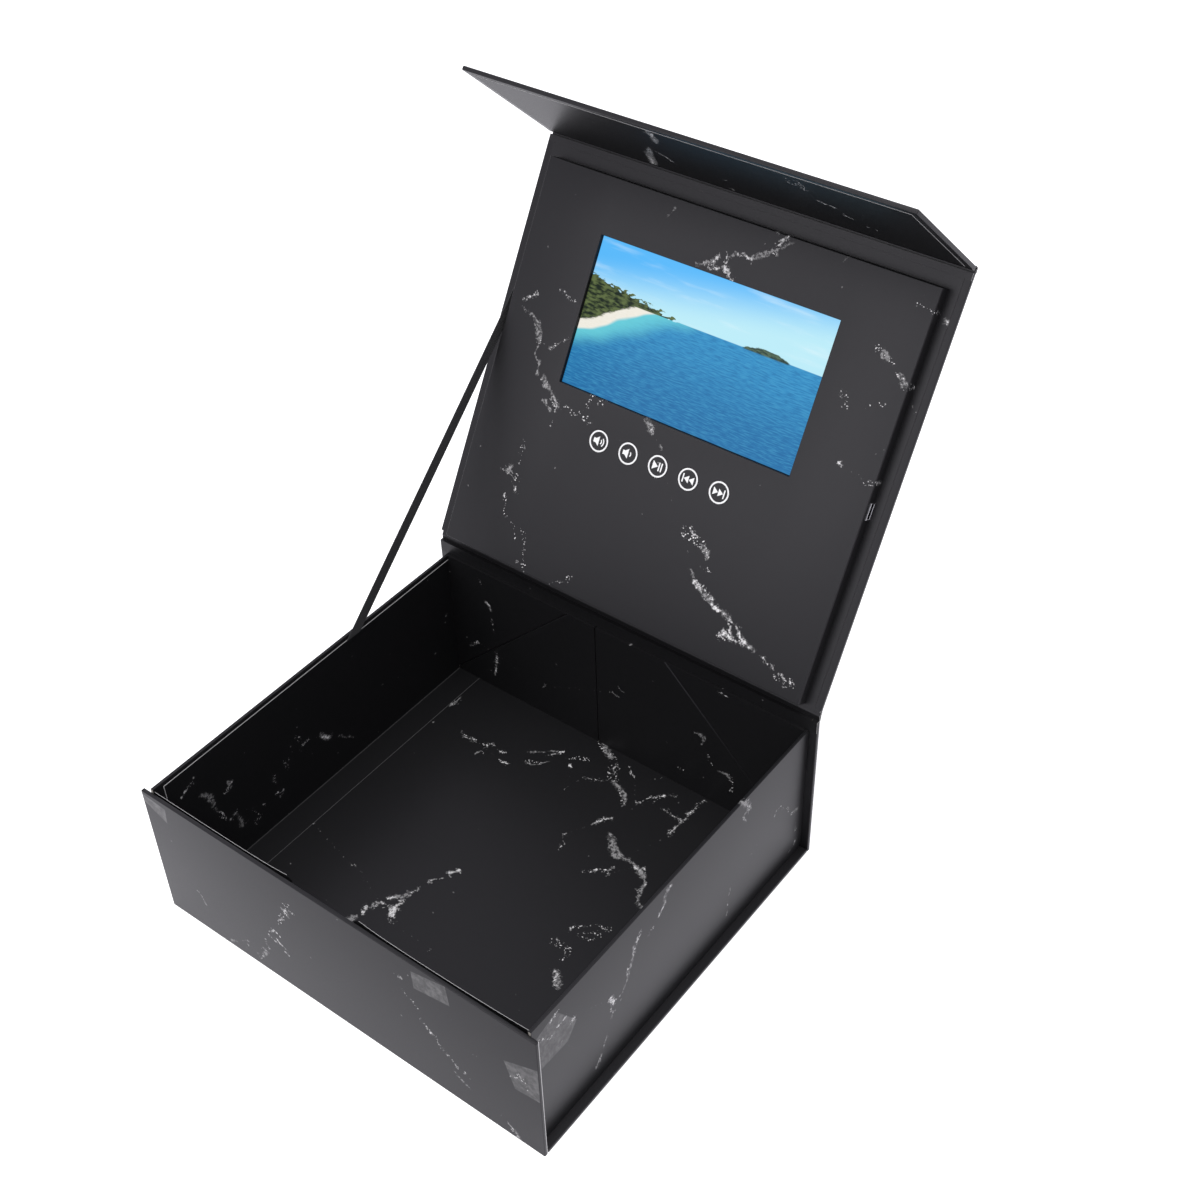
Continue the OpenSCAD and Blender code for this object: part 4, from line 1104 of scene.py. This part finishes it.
select_faces(panel_cover, lambda n, c: lies_on_top(n) and abs(c.x) < window_x - mm
             and window_y0 < c.y < window_y1)
bpy.ops.mesh.delete(type="FACE")


def on_window_rim(edge):
    middle = (edge.verts[0].co + edge.verts[1].co) / 2
    return (middle.z > face_n - hair and abs(middle.x) < window_x + hair
            and window_y0 - hair < middle.y < window_y1 + hair)


select_edges(panel_cover, lambda e: len(e.link_faces) == 1 and on_window_rim(e))
extrude_by((0, 0, -board_t - paper_t))
round_edges(panel_cover, window_round, 3, lambda e: inner_edge(e) and on_window_rim(e)
            and min(f.normal.z for f in e.link_faces) < 0.5)
apply_modifier(panel_cover, "SOLIDIFY", thickness=paper_t, offset=-1, use_even_offset=True)


def cut_away(piece, cutter):
    apply_modifier(piece, "BOOLEAN", object=cutter, operation="DIFFERENCE", solver="EXACT")
    bpy.data.objects.remove(cutter)


for i in range(5):
    hole = started(bpy.ops.mesh.primitive_cylinder_add, vertices=64, radius=hole_d / 2, depth=4 * mm,
                   location=((i - 2) * button_pitch, button_s, face_n))
    cut_away(panel_cover, hole)
mouth = block((panel_w / 2, socket_s, socket_n), mouth_size)
in_edit(mouth)
round_edges(mouth, mouth_round, 4, lambda e: abs(e.verts[0].co.x - e.verts[1].co.x) > mm)
out_of_edit()
cut_away(panel_cover, mouth)
stand(panel_cover, hinge, lid_up, lid_in)
panel_veins = seen_veins(lid_face, lined_t + panel_t / mm, {
    "solid": [
        [(773, 251, 0.6), (780, 251, 1.4), (783, 247, 1.2), (779, 245, 0.9)],
        [(740, 253, 0.8), (745, 252, 0.9), (749, 254, 1.6), (754, 256, 1.1)],
        [(731, 251, 0.5), (729, 256, 1)], [(731, 257, 0.4), (727, 261, 0.9)],
        [(723, 253, 0.4), (718, 256, 1.2), (714, 262, 0.9)],
        [(705, 260, 0.2), (713, 264, 0.6), (720, 266, 0.9), (726, 266, 1.8), (731, 272, 2)],
        [(731, 275, 0.6), (735, 278, 0.9)], [(697, 577, 0.5), (699, 580, 1.7), (703, 587, 0.7)],
        [(705, 584, 0.2), (710, 592, 0.4), (715, 597, 0.9)],
        [(703, 588, 0.2), (709, 598, 0.5), (716, 603, 0.9)],
        [(715, 603, 1), (718, 606, 1.4), (724, 608, 1)],
        [(725, 608, 0.9), (728, 612, 1.1), (731, 616, 0.5)], [(733, 618, 0.8), (734, 621, 0.7)],
        [(738, 622, 0.3), (741, 630, 1.1), (744, 637, 1.5), (749, 643, 0.5), (757, 650, 0.2)],
        [(731, 621, 0.5), (732, 628, 0.8), (734, 634, 1)],
        [(720, 632, 0.8), (726, 630, 2.2), (732, 634, 1.6), (739, 639, 0.7), (749, 642, 0.3)],
        [(765, 655, 0.2), (769, 660, 0.6), (776, 668, 0.3)],
        [(780, 672, 0.8), (785, 676, 1.4), (788, 679, 0.6)], [(786, 684, 0.7), (789, 686, 0.7)],
        [(792, 679, 0.7), (793, 682, 0.6)], [(777, 674, 0.6), (779, 674, 0.4)],
        [(692, 525, 0.3), (695, 530, 0.6), (700, 535, 0.3)], [(684, 532, 0.5), (688, 537, 0.3)],
        [(525, 297, 0.5), (530, 295, 0.7), (541, 291, 0.3)],
        [(564, 288, 0.4), (569, 294, 0.2), (579, 298, 0.3)],
        [(551, 346, 0.6), (557, 343, 0.6), (563, 340, 0.3), (572, 338, 0.1)],
        [(543, 337, 0.8), (542, 341, 0.5)], [(543, 376, 0.4), (547, 381, 0.6), (550, 379, 0.9)],
        [(653, 424, 1), (656, 429, 0.9)], [(648, 412, 0.8), (649, 416, 0.6)],
        [(517, 484, 0.5), (517, 491, 0.8)], [(508, 490, 0.3), (507, 496, 0.6)],
        [(510, 471, 0.8), (514, 469, 0.5)], [(518, 558, 0.9), (519, 560, 0.7)],
        [(841, 460, 0.9), (844, 464, 0.7)], [(843, 389, 0.6), (845, 394, 0.3)],
        [(871, 478, 0.3), (878, 481, 0.5), (886, 486, 0.3)], [(777, 228, 0.3), (781, 230, 0.7)],
        [(894, 481, 0.4), (903, 480, 0.5)]
    ],
    "smoke": [
        [(796, 241, 0.8), (785, 245, 1.6), (775, 249, 1.9), (765, 252, 2.6), (757, 254, 2.2),
         (752, 256, 1)], [(741, 252, 1.2), (736, 252, 1.7), (732, 254, 0.5)],
        [(720, 255, 0.8), (714, 258, 1.9), (707, 260, 1.2), (696, 259, 0.5)],
        [(692, 565, 0.5), (695, 574, 1.1), (699, 581, 1.6), (705, 590, 1.9), (712, 599, 1.7),
         (717, 604, 0.6)], [(742, 633, 0.8), (747, 640, 1.5), (757, 650, 0.4)],
        [(704, 542, 0.8), (708, 549, 2), (710, 557, 0.7)],
        [(724, 607, 0.8), (729, 613, 1.8), (733, 619, 0.6)],
        [(525, 305, 0.3), (533, 311, 0.6), (538, 318, 1.6), (541, 328, 2.8), (542, 338, 2.4),
         (540, 346, 1.3), (538, 354, 0.5)], [(539, 355, 0.4), (540, 365, 1.7), (541, 372, 0.7)],
        [(544, 374, 1), (547, 380, 2.5), (552, 387, 1)],
        [(548, 397, 1.4), (550, 404, 2.4), (552, 408, 0.8)],
        [(553, 388, 0.8), (557, 396, 1.6), (561, 404, 0.7)],
        [(647, 411, 0.8), (649, 418, 1.9), (653, 425, 2.2), (656, 431, 0.8)],
        [(662, 440, 0.3), (665, 446, 0.8)], [(845, 258, 0.3), (851, 254, 1.2), (855, 252, 0.3)],
        [(670, 213, 0.3), (674, 210, 1.3), (679, 206, 0.3)],
        [(884, 348, 0.8), (888, 353, 2.4), (892, 357, 0.8)],
        [(900, 371, 0.8), (905, 376, 2.2), (909, 384, 0.6)],
        [(515, 462, 1.2), (510, 470, 2), (518, 478, 0.8)]
    ],
    "dust": [
        [(686, 524, 1.5), (696, 535, 3.5), (706, 547, 3), (709, 560, 1.2)],
        [(706, 563, 1.2), (713, 571, 1.6)], [(776, 672, 1.2), (785, 677, 3), (795, 684, 1.6)],
        [(717, 631, 1.6), (726, 636, 2.2)], [(729, 273, 1.2), (736, 280, 1.6)],
        [(553, 396, 1), (559, 408, 4.4), (555, 420, 3.5)],
        [(564, 406, 1.5), (574, 410, 2), (586, 409, 1.2)],
        [(586, 407, 1.2), (592, 399, 2.6), (597, 391, 1)],
        [(600, 401, 1.6), (606, 398, 3.4), (613, 394, 1.6)],
        [(584, 414, 1), (590, 418, 2.6), (594, 422, 0.8)],
        [(527, 436, 0.8), (523, 450, 2), (521, 462, 1.2)],
        [(505, 464, 1.2), (514, 470, 3), (520, 480, 1.2)],
        [(508, 488, 1), (507, 502, 1.2), (514, 520, 1.4), (517, 536, 1)],
        [(522, 526, 0.8), (526, 540, 2.2), (526, 556, 2.6), (527, 568, 1.4)],
        [(552, 580, 1.5), (562, 580, 3), (572, 578, 2.6)],
        [(880, 342, 1.4), (889, 353, 2.6), (896, 362, 1.4)],
        [(899, 370, 1), (906, 380, 2.6), (909, 388, 1)],
        [(845, 386, 0.8), (848, 398, 1.6), (850, 408, 0.8)],
        [(868, 405, 0.8), (876, 403, 1.8), (886, 404, 0.8)],
        [(874, 452, 0.8), (882, 449, 1.4), (888, 448, 0.6)],
        [(864, 475, 0.6), (880, 482, 1.4), (896, 488, 0.6)],
        [(920, 300, 1.4), (929, 306, 2.6), (934, 312, 1)]
    ]
})
panel_paper = marble_paper("marbled paper of the panel", lid_face, panel_veins)
dress_cover(panel_cover, panel_paper, "lid", "facing_wrap")

# The screen: a wide display held behind the window by foam pads. It shows a made-up view of a
# lagoon, with a wooded headland on the left, a sand bar and one small island.
def lagoon_picture(name):
    material, tree = new_material(name)
    offset = vector_of("SUBTRACT", own_place(tree), hinge + window_s * lid_up)
    u = reach_along(offset, (1 / window_w, 0, 0))
    v = reach_along(offset, lid_up / window_h)
    flat = add_node(tree, "CombineXYZ", {"X": u, "Y": v}).outputs[0]

    def cloudy(scale, stretch, detail=4.0):
        spread = add_node(tree, "Mapping", {"Vector": flat, "Scale": (1.0, stretch, 1.0)}).outputs[0]
        return noise_of(spread, scale, detail)

    # Sky, deepest at the top left and pale over the horizon
    horizon = 0.14
    haze = u * 0.35 + v * -1.25
    sky = haze.step(-0.66, -0.22).mixed((0.095, 0.48, 0.95), (0.50, 0.83, 0.93))
    wisps = cloudy(3.0, 4.0).step(0.50, 0.78)
    sky = (wisps * 0.45).mixed(sky, (0.80, 0.93, 0.97))
    # Sea: deep below, green over the shallows along the sand bar, with short ripples
    ripple = cloudy(26.0, 5.0, 5.0)
    deep = cloudy(4.0, 3.0, 3.0) * 0.25 + v
    sea = deep.step(-0.35, 0.30).mixed((0.010, 0.165, 0.40), (0.026, 0.27, 0.56))
    sea = (ripple.step(0.46, 0.66) * 0.30).mixed(sea, (0.075, 0.42, 0.66))
    sea = (ripple.step(0.52, 0.36) * 0.35).mixed(sea, (0.003, 0.10, 0.29))
    # The sand bar runs from the lower left corner towards the middle of the horizon
    shore = u * 0.80 + 0.275 + (cloudy(3.5, 1.0, 2.0) - 0.5) * 0.16
    from_shore = v - shore
    sea = (from_shore.step(-0.15, -0.01) * 0.75).mixed(sea, (0.16, 0.70, 0.74))
    sand = cloudy(60.0, 2.0).mixed((0.80, 0.76, 0.64), (0.92, 0.90, 0.84))
    ground = from_shore.step(-0.012, 0.012).mixed(sea, sand)
    # Woods on the headland, with a ragged top against the sky
    leaves = cloudy(34.0, 1.6, 6.0)
    ragged = leaves - 0.5
    wood = leaves.step(0.38, 0.64).mixed((0.006, 0.016, 0.006), (0.11, 0.15, 0.05))
    above_foot = v + leaves * 0.05 - (shore + 0.085)
    ground = above_foot.step(0.0, 0.02).mixed(ground, wood)
    crown = ragged * 0.14 + (u * -0.26 + 0.115)
    left_of_tip = u.step(-0.085, -0.12)
    skyline = (crown - horizon) * left_of_tip + horizon
    # One low island stands off to the right
    island_x = u - 0.27
    island_h = 0.032 - island_x * island_x * 3.2
    skyline = skyline.at_least(island_h + horizon + ragged * 0.03)
    over_horizon = v - horizon
    island = over_horizon.step(-0.012, 0.0) * island_h.step(0.0, 0.008)
    far_wood = leaves.step(0.4, 0.62).mixed((0.012, 0.035, 0.03), (0.09, 0.15, 0.09))
    ground = island.mixed(ground, far_wood)
    ground = (over_horizon.step(-0.006, 0.0) * left_of_tip).mixed(ground, wood)
    view = (v - skyline).step(-0.003, 0.003).mixed(ground, sky)
    # The lit area ends in a black border
    lit = abs(u).step(0.4985, 0.4965) * abs(v).step(0.4985, 0.4955)
    coat(tree, {"Emission Color": lit.mixed((0.004, 0.004, 0.005), view), "Emission Strength": 1.0,
                "Base Color": (0.006, 0.006, 0.007, 1), "Roughness": 0.12, "Specular IOR Level": 0.06})
    return material


dress(lagoon_picture("lit display"), "screen_glass")
dress(plated_metal("backlight tray", (0.66, 0.67, 0.68), 0.3, 350.0), "screen_backlight")
dress(foam, "screen_pad")

# The player's electronics: a green main board with its chips and socket, a strip with five
# switches, a flat battery and a small speaker, wired together in the bay.
def solder_board(name):
    """Green solder mask over copper tracks, with tinned pads"""
    material, tree = new_material(name)
    place = own_place(tree)
    tracks = add_node(tree, "TexBrick", {"Vector": place, "Scale": 260.0, "Mortar Size": 0.012})
    pads = add_node(tree, "TexVoronoi", {"Vector": place, "Scale": 420.0})
    tinned = Amount(pads.outputs["Distance"]).step(0.12, 0.17, 1.0, 0.0)
    mask = Amount(tracks.outputs["Fac"]).mixed((0.010, 0.085, 0.030), (0.022, 0.16, 0.055))
    coat(tree, {"Base Color": tinned.mixed(mask, (0.62, 0.62, 0.58)),
                "Roughness": tinned.step(0.0, 1.0, 0.38, 0.25)})
    return material


dress(solder_board("circuit board"), "main_board", "button_board")
dress(plain_finish("black moulding", (0.022, 0.022, 0.023), 0.45, 2200.0, 0.3, 0.03 * mm),
      "board_chips", "tactile_switches", "speaker")
dress(plain_finish("flexible printed film", (0.48, 0.20, 0.03), 0.28, 700.0, 0.25),
      "screen_flex", "button_flex")
dress(plain_finish("lead sleeves", (0.20, 0.012, 0.012), 0.42, 900.0, 0.2), "battery_leads", "speaker_leads")
dress(plain_finish("reed switch glass", (0.20, 0.36, 0.22), 0.08, 500.0, 0.1), "reed_switch")
dress(plain_finish("battery pouch", (0.42, 0.44, 0.47), 0.32, 260.0, 0.12, 0.06 * mm, 0.7), "battery")
socket_steel = plated_metal("socket steel", (0.80, 0.80, 0.82), 0.24, 900.0)
dress(socket_steel, "charging_socket")
# The shell's flared lips stand round its mouth on the panel's side
lip_out = 0.5 * mm
lip_wide = 9.6 * mm
lip_tall = 4.6 * mm
lip_bar = 0.6 * mm
lip_round = 0.12 * mm
socket_lips = block((panel_w / 2 + lip_out / 2, socket_s, socket_n), (lip_out, lip_wide, lip_tall),
                    "socket_lips")
bore = block((panel_w / 2, socket_s, socket_n), (3 * mm, lip_wide - 2 * lip_bar, lip_tall - 2 * lip_bar))
cut_away(socket_lips, bore)
in_edit(socket_lips)
round_edges(socket_lips, lip_round, 2,
            lambda e: e.calc_face_angle(0) > 1 and min(v.co.x for v in e.verts) > panel_w / 2)
out_of_edit()
stand(socket_lips, hinge, lid_up, lid_in)
socket_lips.data.materials.append(socket_steel)
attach(socket_lips, "lid")

# The buttons: caps covered in the panel's paper, each printed in white with a ring and its
# sign. The ink is a raised film on the cap.
ink = plain_finish("white ink", (0.86, 0.86, 0.86), 0.5, 3000.0, 0.04, 0.01 * mm)
ink_t = 0.03 * mm
ring_r = 6.25 * mm
ring_w = 0.95 * mm
touching = 1e-6


def ink_ring(radius, width, low=None, high=None):
    """Flat ring, or the part of it between two angles"""
    shape = started(bpy.ops.mesh.primitive_circle_add, vertices=96, radius=radius, fill_type="NOTHING")
    in_edit(shape)
    if low is not None:
        select_edges(shape, lambda e: not all(
            low <= math.atan2(v.co.y, v.co.x) <= high for v in e.verts))
        bpy.ops.mesh.delete(type="EDGE")
    bpy.ops.mesh.select_all(action="SELECT")
    bpy.ops.mesh.extrude_edges_move()
    bpy.ops.transform.resize(value=((radius - width) / radius,) * 2 + (1,), center_override=origin)
    out_of_edit()
    return shape


def ink_bar(x0, x1, half_h=2.5 * mm):
    shape = started(bpy.ops.mesh.primitive_plane_add, size=1, location=((x0 + x1) / 2, 0, 0))
    shape.scale = (x1 - x0, 2 * half_h, 1)
    apply_place(shape)
    return shape


def ink_arrow(base_x, tip_x, half_h=2.2 * mm):
    shape = ink_bar(min(base_x, tip_x), max(base_x, tip_x), half_h)
    in_edit(shape)
    select_edges(shape, lambda e: all(abs(v.co.x - tip_x) < touching for v in e.verts))
    bpy.ops.mesh.merge(type="CENTER")
    out_of_edit()
    return shape


def ink_speaker():
    shape = ink_bar(-3.5 * mm, -2.0 * mm, 1.25 * mm)
    in_edit(shape)
    select_edges(shape, lambda e: all(v.co.x > -2.1 * mm for v in e.verts))
    extrude_by((2.1 * mm, 0, 0))
    bpy.ops.transform.resize(value=(1, 2.3, 1), center_override=origin)
    out_of_edit()
    return shape


def sound_wave(radius):
    shape = ink_ring(radius, 0.7 * mm, -0.85, 0.85)
    shape.location.x = 0.2 * mm
    apply_place(shape)
    return shape


signs = {
    "volume_up": lambda: [ink_speaker(), sound_wave(2.0 * mm), sound_wave(3.5 * mm)],
    "volume_down": lambda: [ink_speaker(), sound_wave(2.0 * mm)],
    "play_pause": lambda: [ink_arrow(-3.4 * mm, 0.2 * mm, 2.5 * mm), ink_bar(0.5 * mm, 1.35 * mm),
                           ink_bar(2.1 * mm, 2.95 * mm)],
    "previous": lambda: [ink_bar(-3.7 * mm, -2.9 * mm), ink_arrow(0.4 * mm, -2.7 * mm),
                         ink_arrow(3.7 * mm, 0.6 * mm)],
    "next": lambda: [ink_arrow(-3.7 * mm, -0.6 * mm), ink_arrow(-0.4 * mm, 2.7 * mm),
                     ink_bar(2.9 * mm, 3.7 * mm)]
}
for i, (name, make_sign) in enumerate(signs.items()):
    dress(panel_paper, name + "_button")
    parts = [ink_ring(ring_r, ring_w)] + make_sign()
    pick(parts[0])
    for part in parts:
        part.select_set(True)
    bpy.ops.object.join()
    printed = bpy.context.object
    printed.name = name + "_print"
    in_edit(printed)
    bpy.ops.mesh.select_all(action="SELECT")
    bpy.ops.mesh.remove_doubles(threshold=touching)
    bpy.ops.mesh.normals_make_consistent(inside=False)
    shape = bmesh.from_edit_mesh(printed.data)
    if sum(f.normal.z * f.calc_area() for f in shape.faces) < 0:
        bpy.ops.mesh.flip_normals()
    apply_modifier(printed, "SOLIDIFY", thickness=ink_t, offset=1)
    printed.location = ((i - 2) * button_pitch, button_s, face_n)
    apply_place(printed)
    stand(printed, hinge, lid_up, lid_in)
    printed.data.materials.append(ink)
    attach(printed, name + "_button")

# The front flap: a third covered board on a second paper fold, bent inwards over the panel.
# Its lining is the same paper, and two magnets lie under it.
bend = math.radians(78)
flap_up = lid_up * math.cos(bend) + lid_in * math.sin(bend)
flap_in = lid_in * math.cos(bend) - lid_up * math.sin(bend)
flap_fold = hinge + fold_s * lid_up
flap_face = (flap_fold / mm, X, flap_up)
flap_len = 97 * mm
flap_cover = paper_cover("flap_cover", flap_len - fold_half, far_turned=True)
stand(flap_cover, flap_fold + fold_half * flap_up, flap_up, flap_in)
flap_back = scattered_veins(18, (-126, 126), (6, 90), 6)
dress_cover(flap_cover, marble_paper("marbled paper of the flap", flap_face, flap_back), "flap", "flap_wrap")
dress(board, "flap_board")
flap_inside = seen_veins(flap_face, lined_t, {
    "solid": [
        [(651, 129, 0.4), (653, 133, 1.1), (657, 137, 0.6)],
        [(651, 147, 0.4), (650, 152, 0.6), (654, 158, 1.3), (655, 163, 1.2)],
        [(651, 146, 0.3), (659, 149, 0.6), (665, 153, 0.7), (672, 157, 0.5), (679, 162, 0.2)],
        [(734, 186, 0.3), (738, 189, 0.8), (741, 191, 0.2)],
        [(819, 197, 0.2), (824, 200, 0.7), (832, 203, 0.8), (838, 206, 0.3)],
        [(846, 211, 0.2), (851, 215, 0.5), (856, 217, 0.2)], [(879, 228, 0.4), (881, 229, 0.7)],
        [(869, 225, 0.3), (871, 225, 0.5)]
    ],
    "smoke": [
        [(650, 128, 0.6), (655, 134, 2.2), (658, 141, 0.8)],
        [(652, 145, 0.8), (653, 152, 2), (656, 160, 2.4), (653, 165, 0.8)], [(725, 177, 0.3), (729, 178, 1)]
    ],
    "dust": [
        [(786, 175, 1.2), (794, 181, 2.2), (800, 184, 1)], [(798, 178, 1), (806, 187, 3), (812, 190, 1.2)]
    ]
})
flap_rim = flap_fold.dot(flap_up) / mm + 92.8
flap_lined = marble_paper("lining of the flap", flap_face, flap_inside,
                          [(flap_up, flap_rim, 0.6), (X, 130.8, 0.6), (-X, 130.8, 0.6)], gloss=0.12)
dress(flap_lined, "flap_lining")
dress(plated_metal("flap magnet nickel", (0.72, 0.72, 0.74), 0.22, 500.0), "flap_magnets")


def at_flap_fold(s, n):
    """Before the fold along the lid, after it along the flap"""
    up, inward = (lid_up, lid_in) if s < 0 else (flap_up, flap_in)
    place = flap_fold + s * up + n * inward
    return (place.y, place.z)


bend_s = 1.6 * mm
corner_s = groove_n * math.tan(bend / 2)
lining_reach = fold_half + lining_inset - hair
flap_fold_path = bent(at_flap_fold(0, 0), at_flap_fold(-bend_s, 0), at_flap_fold(bend_s, 0), 8)
flap_fold_path = [at_flap_fold(-fold_half, 0)] + flap_fold_path + [at_flap_fold(fold_half, 0)]
flap_lining_path = [at_flap_fold(s, n) for s, n in (
    (-lining_reach, level), (-groove_end, level), (-groove_end, groove_n), (-fold_half / 2, groove_n),
    (-corner_s, groove_n), (fold_half / 2, groove_n), (groove_end, groove_n), (groove_end, level),
    (lining_reach, level))]
paper_fold("flap", flap_fold_path, flap_lining_path, flap_lining_path)

# The stay: a black satin ribbon with woven edges, glued under the left wall's lining and to
# the lid's ledge.
ribbon_w = 8 * mm
ribbon_t = 0.25 * mm
ribbon_x = -127.1 * mm
ribbon_low = Vector((ribbon_x, 33 * mm, 94 * mm))
ribbon_high = hinge + 158 * mm * lid_up + (bay_n0 + 0.4 * mm) * lid_in
ribbon_high.x = ribbon_x
pull = (ribbon_high - ribbon_low).normalized()
ribbon_l = (ribbon_high - ribbon_low).length
level_across = pull.cross(X)


def satin_weave(name):
    """Satin face between woven edges; the pattern follows the ribbon's own length and width"""
    material, tree = new_material(name)
    along = add_node(tree, "UVMap").outputs["UV"]
    parted = add_node(tree, "SeparateXYZ", {0: along})
    wave = add_node(tree, "TexWave", {"Vector": along, "Scale": 620.0, "Distortion": 0.4},
                    bands_direction="X")
    ribs = Amount(wave.outputs["Fac"])
    aside = math_of("DIVIDE", Amount(parted.outputs["Y"]), ribbon_w)
    edge = abs(aside).step(0.40, 0.44)
    coat(tree, {"Base Color": ribs.mixed((0.006, 0.006, 0.007), (0.016, 0.016, 0.018)),
                "Roughness": edge.step(0.0, 1.0, 0.38, 0.62), "Normal": ribs.raised(0.4, 0.05 * mm),
                "Sheen Weight": 0.25})
    return material


ribbon = started(bpy.ops.mesh.primitive_grid_add, "ribbon", x_subdivisions=80, y_subdivisions=8, size=1)
ribbon.scale = (ribbon_l, ribbon_w, 1)
ribbon.location.x = ribbon_l / 2
apply_place(ribbon)
weave_map = ribbon.data.uv_layers[0]
for loop in ribbon.data.loops:
    place = ribbon.data.vertices[loop.vertex_index].co
    weave_map.data[loop.index].uv = (place.x, place.y)
# Its ends are cut along the lid and along the wall, and it hangs a little wavy
lid_slope = lid_up.dot(pull) / lid_up.dot(level_across)
wall_slope = Y.dot(pull) / Y.dot(level_across)
for vertex in ribbon.data.vertices:
    share = vertex.co.x / ribbon_l
    vertex.co.x += vertex.co.y * (share * lid_slope + (1 - share) * wall_slope)
    vertex.co.z = 0.06 * mm * math.sin(share * 9) + 0.05 * mm * math.cos(vertex.co.y / ribbon_w * math.pi)
ribbon.matrix_world = set_at(ribbon_low, pull, level_across, pull.cross(level_across))
apply_place(ribbon)
apply_modifier(ribbon, "SOLIDIFY", thickness=ribbon_t, offset=0)
ribbon.data.materials.append(satin_weave("black satin ribbon"))
bpy.ops.object.shade_smooth_by_angle(angle=math.radians(40))
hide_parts("ribbon_stay")
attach(ribbon, "tray")
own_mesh(ribbon)
